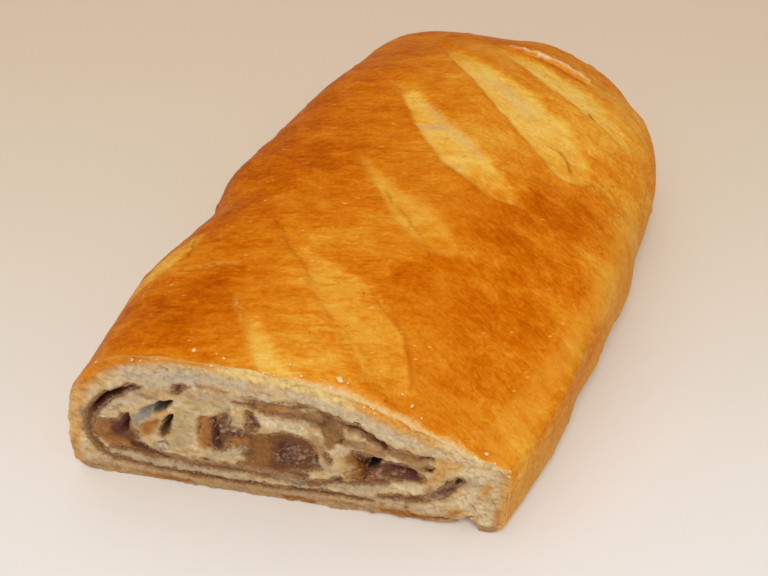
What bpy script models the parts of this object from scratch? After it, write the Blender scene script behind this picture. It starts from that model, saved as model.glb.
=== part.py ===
"""Kringle: a cut half of a flat rolled yeast loaf with a nut filling.

X runs across the loaf, Y along it from the cut to the rounded end, and Z up from
the surface it stands on. The origin is the middle of the base. Lengths are metres.
The loaf is a loft of cross-sections, one at each station along its length. The
filling is a spiral band lofted the same way, in a slot cut for it out of the dough.
"""
import math

import bmesh
import bpy
import numpy as np

# Loaf
LENGTH = 0.219
WIDTH = 0.123
HEIGHT = 0.050
CUT_SKEW = 0.029          # the cut runs askew: its right corner stands this much further along
RIGHT_EDGE_HEIGHT = 0.0285  # at the cut the top slopes down to a steep right side this high
LEFT_EDGE_RADIUS = 0.0055   # height of the widest line above the base, at the cut
END_EDGE_RADIUS = 0.014     # the same towards the rounded end
CROWN_DROP = 0.006          # how much lower the crown would be at the far end, before its round

# Cross-section: pairs are at the cut and towards the rounded end, runs are shares of the length
CROWN_AT = (-0.365, -0.050)  # place of the crown across, -1 at the left and 1 at the right
EVENING_RUN = (0.05, 0.60)   # where the lopsided section of the cut turns into an even one
LEFT_POWER = (2.6, 2.85)     # squareness of the left side
LEFT_POWER_RUN = (0.05, 0.20)
RIGHT_POWER = (16.0, 2.6)    # squareness of the right side
SLOPE_POWER = 1.7            # how late the top starts to slope down to the right
FOOT = (0.085, 0.175)        # share of the half width over which the base curves up
FOOT_RUN = (0.0, 0.5)
CLOSING_FROM = 0.60          # share of the length from which the top comes down to the end
CLOSING_POWER = 2.1
LIFTING_FROM = 0.93          # share of the length from which the base curves up at the end
LIFTING_POWER = 2.0

# Plan outline
NOSE_X = -0.004
LEFT_SHOULDER_Y = 0.063
RIGHT_SHOULDER_Y = 0.020
RIGHT_WIDEST_Y = -0.020
RIGHT_NARROWING = 0.0054
LEFT_END_POWER = 2.6        # squareness of the rounded end's left and right half
RIGHT_END_POWER = 2.3
LEFT_DENTS = (              # depth, place and spread of each hollow in the left side
    (0.0054, -0.1095, 0.025),
    (0.0034, -0.0380, 0.013),
    (0.0025, 0.0650, 0.035),
)

# Roll of dough and filling
ROLL_TURNS = 4              # turns that would wind the roll up to its core
FILLED_TURNS = 3.68         # turns that the filling runs, from the outside in
ROLL_CORE = 0.0018
ROLL_CENTRE = (0.476, 0.442)  # share of the width from the left side, share of the height
WALL_TOP = 0.0076
WALL_BOTTOM = 0.0048
WALL_LEFT = 0.0048
WALL_RIGHT = 0.0120
FILLING_SHARE_OUTSIDE = 0.28  # filling thickness as a share of the distance between turns
FILLING_SHARE_INSIDE = 0.50
ROLL_FLATNESS = 0.40
FILLING_TAPER_RUNS = (0.08, 0.1)  # the filling thins to its outer and inner end over these turns
FILLING_END_SHARE = 0.5       # thickness left at those ends
FILLING_STATIONS = (0.0, 0.2, 0.4, 0.6, 0.74, 0.85)
FIT_GAP = 0.0003
SLOT_AHEAD = 0.005            # how far the slot's cutter stands out in front of the cut

# Slashes in the crust: start and end on the plan, width, bow to the side, depth
SLASHES = (
    ((-0.020, -0.079), (0.012, -0.112), 0.0095, 0.0, 0.0016),
    ((-0.027, -0.046), (0.028, -0.085), 0.0150, -0.0045, 0.0020),
    ((-0.024, -0.005), (0.023, -0.038), 0.0110, 0.0015, 0.0018),
    ((-0.033, 0.040), (0.030, -0.009), 0.0115, 0.0050, 0.0020),
    ((-0.030, 0.072), (0.042, 0.012), 0.0165, -0.0025, 0.0022),
    ((-0.010, 0.076), (0.047, 0.042), 0.0100, -0.0020, 0.0018),
    ((-0.011, 0.082), (0.035, 0.076), 0.0040, 0.0, 0.0015),
)
SLASH_FADE = 4.0            # how sharply the slashes fade out towards the loaf's sides

# Hollows seen in the cut: share of the width, share of the height, half length,
# half thickness, tilt in degrees, depth into the loaf
HOLLOWS = (
    (0.143, 0.680, 0.0085, 0.0021, 40.0, 0.014),
    (0.230, 0.626, 0.0048, 0.0021, 42.0, 0.012),
    (0.246, 0.490, 0.0043, 0.0017, 62.0, 0.010),
    (0.683, 0.424, 0.0052, 0.0036, -12.0, 0.011),
)

# Groove along the base
SEAM_AT = 0.833             # place of the seam groove in the base, -1 at the left, 1 at the right
SEAM_HALF_WIDTH = 0.045
SEAM_DEPTH = 0.0042
SEAM_RUN = 0.5              # the groove fades out at this share of the length

# Faceting
TOP_POINTS = 38
BASE_POINTS = 10
OUTLINE_POINTS = 400        # points of the fine outline that the facets are spaced along
STRAIGHT_STATIONS = 36
ROUND_STATIONS = 10
ROUND_FROM = 0.76
TIP = 0.9985                # share of the length at the last, smallest ring
POINTS_PER_TURN = 22
HOLLOW_SEGMENTS = 12
HOLLOW_RINGS = 8

# Colour and roughness
DOUGH_FINISH = ((0.74, 0.36, 0.07), 0.45)
FILLING_FINISH = ((0.26, 0.12, 0.055), 0.6)


def ease(value, start, end):
    """0 before start, 1 after end, and smooth between."""
    share = np.clip((value - start) / (end - start), 0.0, 1.0)
    return share * share * (3.0 - 2.0 * share)


def end_round(value, shoulder, end, power):
    """1 up to the shoulder, then a superellipse quarter down to 0 at the end."""
    share = np.clip((value - shoulder) / (end - shoulder), 0.0, 1.0)
    return (1.0 - share**power) ** (1.0 / power)


def left_side(y):
    half = WIDTH / 2
    for depth, place, spread in LEFT_DENTS:
        half = half - depth * np.exp(-(((y - place) / spread) ** 2))
    return NOSE_X - (half + NOSE_X) * end_round(y, LEFT_SHOULDER_Y, LENGTH / 2, LEFT_END_POWER)


def right_side(y):
    cut_y = -LENGTH / 2 + CUT_SKEW
    straight_y = min(y, RIGHT_SHOULDER_Y)
    bow = (straight_y - RIGHT_WIDEST_Y) / (cut_y - RIGHT_WIDEST_Y)
    half = WIDTH / 2 - RIGHT_NARROWING * bow**2
    return NOSE_X + (half - NOSE_X) * end_round(y, RIGHT_SHOULDER_Y, LENGTH / 2, RIGHT_END_POWER)


def between(pair, share):
    return pair[0] + (pair[1] - pair[0]) * share


class Station:
    """The cross-section at one share of the length; across is -1 at the left, 1 at the right."""

    def __init__(self, share):
        self.skew = CUT_SKEW * (1.0 - share) ** 2
        self.y = -LENGTH / 2 + LENGTH * share
        self.left = float(left_side(self.y))
        self.right = float(right_side(self.y + self.skew))
        footing = ease(share, *FOOT_RUN)
        self.widest = between((LEFT_EDGE_RADIUS, END_EDGE_RADIUS), footing)
        self.foot = between(FOOT, footing)
        closing = end_round(share, CLOSING_FROM, 1.0, CLOSING_POWER)
        crown = HEIGHT - CROWN_DROP * share**2
        self.crown = self.widest + (crown - self.widest) * closing
        rounding = ease(share, *EVENING_RUN)
        self.crown_at = between(CROWN_AT, rounding)
        edge = between((RIGHT_EDGE_HEIGHT, crown), rounding)
        self.edge = self.widest + (edge - self.widest) * closing
        self.left_power = between(LEFT_POWER, ease(share, *LEFT_POWER_RUN))
        self.right_power = RIGHT_POWER[0] ** (1.0 - rounding) * RIGHT_POWER[1] ** rounding
        self.lift = self.widest * (1.0 - end_round(share, LIFTING_FROM, 1.0, LIFTING_POWER))
        self.seam = SEAM_DEPTH * (1.0 - ease(share, 0.0, SEAM_RUN))

    def spread_across(self):
        """Places across the section, closer together towards its sides."""
        return -np.cos(np.linspace(0.0, math.pi, OUTLINE_POINTS))

    def plan(self, across):
        share = (across + 1.0) / 2.0
        return self.left + (self.right - self.left) * share, self.y + self.skew * share

    def top(self, across):
        on_left = across < self.crown_at
        left = np.clip((self.crown_at - across) / (self.crown_at + 1.0), 0.0, 1.0)
        right = np.clip((across - self.crown_at) / (1.0 - self.crown_at), 0.0, 1.0)
        slope = 0.5 + 0.5 * np.cos(math.pi * right**SLOPE_POWER)
        roof = np.where(on_left, self.crown, self.edge + (self.crown - self.edge) * slope)
        power = np.where(on_left, self.left_power, self.right_power)
        drop = (1.0 - np.where(on_left, left, right) ** power) ** (1.0 / power)
        return self.widest + (roof - self.widest) * drop

    def base(self, across):
        share = np.clip((np.abs(across) - 1.0 + self.foot) / self.foot, 0.0, 1.0)
        curve = 1.0 - np.sqrt(1.0 - share**2)
        seam = np.clip(1.0 - np.abs(across - SEAM_AT) / SEAM_HALF_WIDTH, 0.0, 1.0)
        return self.lift + (self.widest - self.lift) * curve + self.seam * seam


def slash_depth(x, y):
    """How far the slashes lower the crust at each point of the plan."""
    depth = np.zeros_like(x)
    for start, end, width, bow, deep in SLASHES:
        along = np.array(end) - np.array(start)
        length = np.hypot(*along)
        along = along / length
        run = ((x - start[0]) * along[0] + (y - start[1]) * along[1]) / length
        arch = np.clip(4.0 * run * (1.0 - run), 1e-9, 1.0)
        aside = (x - start[0]) * along[1] - (y - start[1]) * along[0] - bow * arch
        half = width / 2 * np.sqrt(arch)
        inside = np.clip(1.0 - (aside / half) ** 2, 0.0, 1.0)
        depth = depth + deep * inside * ((run > 0) & (run < 1))
    return depth


def skin_ring(share):
    """Points round the loaf at one station: over the top, then back along the base."""
    station = Station(share)
    dense = station.spread_across()
    x, y = station.plan(dense)
    steps = np.hypot(np.diff(x), np.diff(station.top(dense)))
    travelled = np.concatenate([[0.0], np.cumsum(steps)])
    over = np.interp(np.linspace(0.0, travelled[-1], TOP_POINTS), travelled, dense)
    x, y = station.plan(over)
    inner = 1.0 - over**2
    z = station.top(over) - slash_depth(x, y) * np.clip(SLASH_FADE * inner, 0.0, 1.0)
    top = np.column_stack([x, y, z])
    even = np.linspace(1.0 - station.foot / 3, -1.0 + station.foot / 3, BASE_POINTS)
    seam = SEAM_AT + SEAM_HALF_WIDTH * np.array([1.0, 0.0, -1.0])
    outside = np.abs(even - SEAM_AT) > SEAM_HALF_WIDTH
    under = np.sort(np.concatenate([even[outside], seam]))[::-1]
    x, y = station.plan(under)
    return np.vstack([top, np.column_stack([x, y, station.base(under)])])


def skin_stations():
    straight = np.linspace(0.0, ROUND_FROM, STRAIGHT_STATIONS)
    turn = np.linspace(0.0, math.pi / 2, ROUND_STATIONS + 1)[1:]
    return np.concatenate([straight, ROUND_FROM + (TIP - ROUND_FROM) * np.sin(turn)])


def roll_outline(share):
    """Closed outline of the rolled filling at one station, as x and z."""
    station = Station(share)
    dense = station.spread_across()
    x, _ = station.plan(dense)
    skin = np.vstack([
        np.column_stack([x, station.top(dense)]),
        np.column_stack([x, station.base(dense)])[::-1],
    ])
    centre = np.array([
        station.left + (station.right - station.left) * ROLL_CENTRE[0],
        station.crown * ROLL_CENTRE[1],
    ])
    arms = skin - centre
    skin_angle = np.arctan2(arms[:, 1], arms[:, 0])
    skin_reach = np.hypot(arms[:, 0], arms[:, 1])

    turn = np.linspace(0.0, FILLED_TURNS, round(FILLED_TURNS * POINTS_PER_TURN))
    angle = np.arctan2(-ROLL_FLATNESS * np.sin(2 * math.pi * turn), np.cos(2 * math.pi * turn))
    reach = np.interp(angle, *sorted_by_angle(skin_angle, skin_reach), period=2 * math.pi)
    side = np.where(np.cos(angle) > 0, WALL_RIGHT, WALL_LEFT)
    level = np.where(np.sin(angle) > 0, WALL_TOP, WALL_BOTTOM)
    wall = side * np.cos(angle) ** 2 + level * np.sin(angle) ** 2
    spare = reach - wall - ROLL_CORE
    wound = turn / ROLL_TURNS
    middle = ROLL_CORE + spare * (1.0 - wound)
    share_here = between((FILLING_SHARE_OUTSIDE, FILLING_SHARE_INSIDE), wound)
    outer_run, inner_run = FILLING_TAPER_RUNS
    full = ease(turn, 0.0, outer_run) * (1.0 - ease(turn, FILLED_TURNS - inner_run, FILLED_TURNS))
    taper = between((FILLING_END_SHARE, 1.0), full)
    half = spare / ROLL_TURNS * share_here * taper / 2
    way = np.column_stack([np.cos(angle), np.sin(angle)])
    outer = centre + way * (middle + half)[:, None]
    inner = centre + way * (middle - half)[:, None]
    return np.vstack([outer, inner[::-1]])


def sorted_by_angle(angle, reach):
    order = np.argsort(angle)
    return angle[order], reach[order]


def grown(outline, distance):
    """The outline moved outwards by a distance, along its corners' normals."""
    before = outline - np.roll(outline, 1, axis=0)
    after = np.roll(outline, -1, axis=0) - outline
    before = before / np.hypot(before[:, 0], before[:, 1])[:, None]
    after = after / np.hypot(after[:, 0], after[:, 1])[:, None]
    along = before + after
    along = along / np.hypot(along[:, 0], along[:, 1])[:, None]
    aside = np.column_stack([-along[:, 1], along[:, 0]])
    twice_area = np.sum(outline[:, 0] * np.roll(outline[:, 1], -1)
                        - np.roll(outline[:, 0], -1) * outline[:, 1])
    return outline - aside * distance * np.sign(twice_area)


def on_station(outline, share):
    """Lay an x and z outline into the plane of a station."""
    station = Station(share)
    slope = station.skew / (station.right - station.left)
    y = station.y + slope * (outline[:, 0] - station.left)
    return np.column_stack([outline[:, 0], y, outline[:, 1]])


def loft(name, rings):
    """A closed solid through rings of equal point counts, with flat ends."""
    mesh = bpy.data.meshes.new(name)
    bm = bmesh.new()
    first = [bm.verts.new(point) for point in rings[0]]
    bm.faces.new(first)
    last = first
    for ring in rings[1:]:
        current = [bm.verts.new(point) for point in ring]
        for index, corner in enumerate(current):
            bm.faces.new((last[index - 1], last[index], corner))
            bm.faces.new((last[index - 1], corner, current[index - 1]))
        last = current
    bm.faces.new(list(reversed(last)))
    bmesh.ops.recalc_face_normals(bm, faces=bm.faces[:])
    bm.to_mesh(mesh)
    bm.free()
    piece = bpy.data.objects.new(name, mesh)
    bpy.context.collection.objects.link(piece)
    return piece


def finish(name, colour, roughness):
    material = bpy.data.materials.new(name)
    material.use_nodes = True
    shader = material.node_tree.nodes["Principled BSDF"]
    shader.inputs["Base Color"].default_value = (*colour, 1.0)
    shader.inputs["Roughness"].default_value = roughness
    shader.inputs["Metallic"].default_value = 0.0
    return material


def cut(piece, cutters):
    """Take all the cutters out of a piece at once."""
    group = bpy.data.collections.new(f"{piece.name}_cutters")
    bpy.context.scene.collection.children.link(group)
    for cutter in cutters:
        cutter.hide_render = True
        cutter.display_type = "WIRE"
        group.objects.link(cutter)
    modifier = piece.modifiers.new("hollows", "BOOLEAN")
    modifier.operation = "DIFFERENCE"
    modifier.solver = "EXACT"
    modifier.operand_type = "COLLECTION"
    modifier.collection = group


def make_hollow(index, across, up, half_length, half_thickness, tilt, deep):
    """An egg-shaped cutter centred on the cut."""
    station = Station(0.0)
    bpy.ops.mesh.primitive_uv_sphere_add(
        segments=HOLLOW_SEGMENTS, ring_count=HOLLOW_RINGS, radius=1.0
    )
    egg = bpy.context.object
    egg.name = f"hollow_cutter_{index}"
    egg.scale = (half_length, deep, half_thickness)
    egg.rotation_euler = (0.0, -math.radians(tilt), 0.0)
    x = station.left + (station.right - station.left) * across
    egg.location = (x, station.y + station.skew * across, HEIGHT * up)
    return egg


def make_dough():
    dough = loft("dough", [skin_ring(share) for share in skin_stations()])
    dough.data.materials.append(finish("baked_dough", *DOUGH_FINISH))
    return dough


def make_filling():
    last = FILLING_STATIONS[-1] - FIT_GAP / LENGTH
    stations = (*FILLING_STATIONS[:-1], last)
    filling = loft("filling", [on_station(roll_outline(share), share) for share in stations])
    filling.data.materials.append(finish("nut_filling", *FILLING_FINISH))
    return filling


def make_slot():
    rings = [on_station(grown(roll_outline(share), FIT_GAP), share) for share in FILLING_STATIONS]
    in_front = rings[0] - np.array([0.0, SLOT_AHEAD, 0.0])
    return loft("slot_cutter", [in_front, *rings])


def main():
    for existing in list(bpy.data.objects):
        bpy.data.objects.remove(existing)
    dough = make_dough()
    filling = make_filling()
    eggs = [make_hollow(index, *hollow) for index, hollow in enumerate(HOLLOWS)]
    cut(dough, [make_slot(), *eggs])
    cut(filling, eggs)


main()
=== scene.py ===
# Half a nut kringle, its cut side to the front, on a pale table. Metres, z is up.
import math

import bmesh
import bpy
import numpy as np
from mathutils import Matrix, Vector


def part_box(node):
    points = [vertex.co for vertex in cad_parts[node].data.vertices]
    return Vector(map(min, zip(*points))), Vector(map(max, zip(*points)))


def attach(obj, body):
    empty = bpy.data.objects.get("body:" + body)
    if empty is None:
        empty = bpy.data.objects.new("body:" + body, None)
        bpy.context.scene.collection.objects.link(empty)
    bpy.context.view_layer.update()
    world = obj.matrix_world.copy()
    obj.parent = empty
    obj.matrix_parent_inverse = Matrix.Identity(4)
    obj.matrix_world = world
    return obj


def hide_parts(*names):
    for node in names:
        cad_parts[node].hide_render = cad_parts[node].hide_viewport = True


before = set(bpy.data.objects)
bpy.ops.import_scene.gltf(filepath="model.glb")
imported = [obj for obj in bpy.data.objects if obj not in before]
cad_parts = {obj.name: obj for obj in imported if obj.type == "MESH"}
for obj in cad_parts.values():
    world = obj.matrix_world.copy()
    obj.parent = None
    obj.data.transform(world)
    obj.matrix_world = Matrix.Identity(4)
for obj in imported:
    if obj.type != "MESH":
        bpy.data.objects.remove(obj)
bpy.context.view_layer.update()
doughLow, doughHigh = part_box("dough")
mm = 0.001
inward = np.array([0.0, 1.0, 0.0])      # from the cut into the loaf
print("kringle: frame loaded")


# ---- the loaf's form, the same as the solid's

form = {
    "length": -2 * doughLow[1],
    "width": 2 * doughHigh[0],
    "height": doughHigh[2],
    "cutSkew": 0.029,          # the right corner of the cut stands this much further along
    "rightEdge": 0.0285,       # height of the steep right side at the cut
    "leftRadius": 0.0055,
    "endRadius": 0.014,
    "crownDrop": 0.006,
    "noseX": -0.004,
    "leftShoulder": 0.063,
    "leftEndPower": 2.6,
    "rightShoulder": 0.020,
    "rightEndPower": 2.3,
    "rightWidest": -0.020,
    "rightNarrowing": 0.0054,
    "leftDents": ((0.0054, -0.1095, 0.025), (0.0034, -0.0380, 0.013), (0.0025, 0.0650, 0.035)),
    "seamAt": 0.833,
    "seamHalfWidth": 0.050,
    "seamDepth": 0.0058,
    "seamRun": 0.5,
    "filledTo": 0.85,          # share of the length that the filling runs
    # the section, as (at the cut, at the round end) and as shares of the length
    "evening": (0.05, 0.60),   # where the lopsided section of the cut evens out
    "crownAt": (-0.365, -0.05),
    "leftPower": (2.6, 2.85),
    "leftPowerRun": (0.05, 0.20),
    "rightPower": (16.0, 2.6),
    "slopePower": 1.7,
    "foot": (0.085, 0.175),    # how far in from the side the underside starts to rise
    "footRun": 0.5,
    "closing": (0.60, 2.1),    # where the roof comes down to the round end, and how squarely
    "lifting": (0.93, 2.0),
    "footCorner": 0.35,
    "topCorners": (-0.90, 0.975),
    "outlinePoints": (900, 40, 400),      # over the top, at a foot and below
}
cutStart = -form["length"] / 2


def ease(value, start, end):
    share = np.clip((value - start) / (end - start), 0.0, 1.0)
    return share * share * (3.0 - 2.0 * share)


def between(pair, share):
    return pair[0] + (pair[1] - pair[0]) * share


def roundOff(value, shoulder, end, power):
    share = np.clip((value - shoulder) / (end - shoulder), 0.0, 1.0)
    return (1.0 - share**power) ** (1.0 / power)


def leftSide(y):
    half = form["width"] / 2
    for depth, place, spread in form["leftDents"]:
        half = half - depth * math.exp(-(((y - place) / spread) ** 2))
    rounding = roundOff(y, form["leftShoulder"], -cutStart, form["leftEndPower"])
    return form["noseX"] - (half + form["noseX"]) * rounding


def rightSide(y):
    cutEnd = cutStart + form["cutSkew"]
    bow = (min(y, form["rightShoulder"]) - form["rightWidest"]) / (cutEnd - form["rightWidest"])
    half = form["width"] / 2 - form["rightNarrowing"] * bow**2
    rounding = roundOff(y, form["rightShoulder"], -cutStart, form["rightEndPower"])
    return form["noseX"] + (half - form["noseX"]) * rounding


class Station:
    # the cross-section at one share of the length; across is -1 at the left and 1 at the right
    def __init__(self, share):
        self.skew = form["cutSkew"] * (1.0 - share) ** 2
        self.y = cutStart + form["length"] * share
        self.left = float(leftSide(self.y))
        self.right = float(rightSide(self.y + self.skew))
        footing = float(ease(share, 0.0, form["footRun"]))
        self.widest = between((form["leftRadius"], form["endRadius"]), footing)
        self.foot = between(form["foot"], footing)
        closeFrom, closePower = form["closing"]
        closing = float(roundOff(share, closeFrom, 1.0, closePower))
        crown = form["height"] - form["crownDrop"] * share**2
        self.crown = self.widest + (crown - self.widest) * closing
        rounding = float(ease(share, *form["evening"]))
        self.crownAt = between(form["crownAt"], rounding)
        edge = form["rightEdge"] + (crown - form["rightEdge"]) * rounding
        self.edge = self.widest + (edge - self.widest) * closing
        self.leftPower = between(form["leftPower"], float(ease(share, *form["leftPowerRun"])))
        square, roundPower = form["rightPower"]
        self.rightPower = square ** (1.0 - rounding) * roundPower**rounding
        liftFrom, liftPower = form["lifting"]
        self.lift = self.widest * (1.0 - float(roundOff(share, liftFrom, 1.0, liftPower)))
        self.seam = form["seamDepth"] * (1.0 - float(ease(share, 0.0, form["seamRun"])))

    def top(self, across):
        left = np.clip((self.crownAt - across) / (self.crownAt + 1.0), 0.0, 1.0)
        right = np.clip((across - self.crownAt) / (1.0 - self.crownAt), 0.0, 1.0)
        slope = 0.5 + 0.5 * np.cos(math.pi * right ** form["slopePower"])
        onLeft = across < self.crownAt
        roof = np.where(onLeft, self.crown, self.edge + (self.crown - self.edge) * slope)
        power = np.where(onLeft, self.leftPower, self.rightPower)
        drop = (1.0 - np.where(onLeft, left, right) ** power) ** (1.0 / power)
        return self.widest + (roof - self.widest) * drop

    def base(self, across):
        share = np.clip((np.abs(across) - 1.0 + self.foot) / self.foot, 0.0, 1.0)
        seam = np.clip(1.0 - np.abs(across - form["seamAt"]) / form["seamHalfWidth"], 0.0, 1.0)
        rise = 1.0 - np.sqrt(1.0 - share**2)
        return self.lift + (self.widest - self.lift) * rise + self.seam * seam

    def outline(self):
        # once round the section from the lower left, with the lengths at its four corners
        overTop, atFoot, underneath = form["outlinePoints"]
        footAt = 1.0 - self.foot * form["footCorner"]
        dense = -np.cos(np.linspace(0.0, math.pi, overTop))
        up = np.linspace(-footAt, -1.0, atFoot)[:-1]
        down = np.linspace(1.0, footAt, atFoot)[1:]
        back = np.linspace(footAt, -footAt, underneath)[1:]
        across = np.concatenate([up, dense, down, back])
        z = np.concatenate([self.base(up), self.top(dense), self.base(down), self.base(back)])
        x = self.left + (self.right - self.left) * (across + 1.0) / 2.0
        travelled = np.concatenate([[0.0], np.cumsum(np.hypot(np.diff(x), np.diff(z)))])
        first, second = len(up), len(up) + len(dense)
        topCorners = np.interp(form["topCorners"], across[first:second], travelled[first:second])
        corners = [0.0, *topCorners, travelled[second + len(down) - 1], travelled[-1]]
        return x, z, travelled, np.array(corners)

    def ringPoints(self, way):
        # way runs 0 to 4: up the left side, over the top, down the right side, back below
        x, z, travelled, corners = self.outline()
        length = np.interp(way, [0, 1, 2, 3, 4], corners)
        return self.inPlane(np.interp(length, travelled, x), np.interp(length, travelled, z))

    def inPlane(self, x, z):
        share = (x - self.left) / (self.right - self.left)
        return np.column_stack([x, self.y + self.skew * share, z])

    def insidePoints(self, u, v):
        # blends the four sides over the section; u and v run -1 to 1
        s = ((u + 1) / 2)[:, None]
        t = ((v + 1) / 2)[:, None]
        left = self.ringPoints((v + 1) / 2)
        top = self.ringPoints(1 + (u + 1) / 2)
        right = self.ringPoints(2 + (1 - v) / 2)
        below = self.ringPoints(3 + (1 - u) / 2)
        lowLeft, highLeft, highRight, lowRight = self.ringPoints(np.array([0.0, 1.0, 2.0, 3.0]))
        flat = (1 - s) * (1 - t) * lowLeft + (1 - s) * t * highLeft
        flat = flat + s * t * highRight + s * (1 - t) * lowRight
        return (1 - s) * left + s * right + (1 - t) * below + t * top - flat


def cloud(points, size, seed, octaves=3, fade=0.5):
    # smooth noise from about -1 to 1, with blobs of about this size
    total = np.zeros(len(points))
    weight = 1.0
    cells = 32
    for octave in range(octaves):
        table = np.random.default_rng(seed + octave).uniform(-1.0, 1.0, (cells, cells, cells))
        spot = points / size * 2**octave + 64.37       # an offset that keeps the cells' joints off the middle
        cell = np.floor(spot).astype(int)
        part = spot - cell
        part = part * part * (3.0 - 2.0 * part)
        for corner in range(8):
            step = np.array([corner & 1, corner >> 1 & 1, corner >> 2 & 1])
            near = np.prod(np.where(step == 1, part, 1.0 - part), axis=1)
            at = (cell + step) % cells
            total = total + weight * near * table[at[:, 0], at[:, 1], at[:, 2]]
        weight = weight * fade
    return total


farAway = 1e3       # mm


def strokeDistance(a, b, points):
    # distance to a brush stroke through points (a, b, half width); below 0 inside it
    best = np.full(a.shape, farAway)
    pairs = list(zip(points[:-1], points[1:])) or [(points[0], points[0])]
    for (a0, b0, r0), (a1, b1, r1) in pairs:
        long = max((a1 - a0) ** 2 + (b1 - b0) ** 2, 1e-9)
        share = np.clip(((a - a0) * (a1 - a0) + (b - b0) * (b1 - b0)) / long, 0.0, 1.0)
        away = np.hypot(a - a0 - (a1 - a0) * share, b - b0 - (b1 - b0) * share)
        best = np.minimum(best, away - r0 - (r1 - r0) * share)
    return best


def nearest(a, b, strokes):
    best = np.full(a.shape, farAway)
    for points in strokes:
        best = np.minimum(best, strokeDistance(a, b, points))
    return best


def strokeShade(x, y, stroke, soft):
    return 1.0 - ease(strokeDistance(x, y, stroke), -0.2 * soft, soft)


def strongest(x, y, strokes, soft):
    # the strongest of several soft strokes, each with its own amount
    shade = np.zeros_like(x)
    for stroke, amount in strokes:
        shade = np.maximum(shade, amount * strokeShade(x, y, stroke, soft))
    return shade


def addPatches(total, x, y, patches):
    # adds soft round patches: place, reach and amount of each
    for px, py, rx, ry, amount in patches:
        total = total + amount * np.exp(-(((x - px) / rx) ** 2) - ((y - py) / ry) ** 2)
    return total


def linear(red, green, blue):
    def one(value):
        value = value / 255
        return value / 12.92 if value <= 0.04045 else ((value + 0.055) / 1.055) ** 2.4
    return (one(red), one(green), one(blue), 1.0)


# ---- what the cut shows, in millimetres along the cut and up from the table

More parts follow.
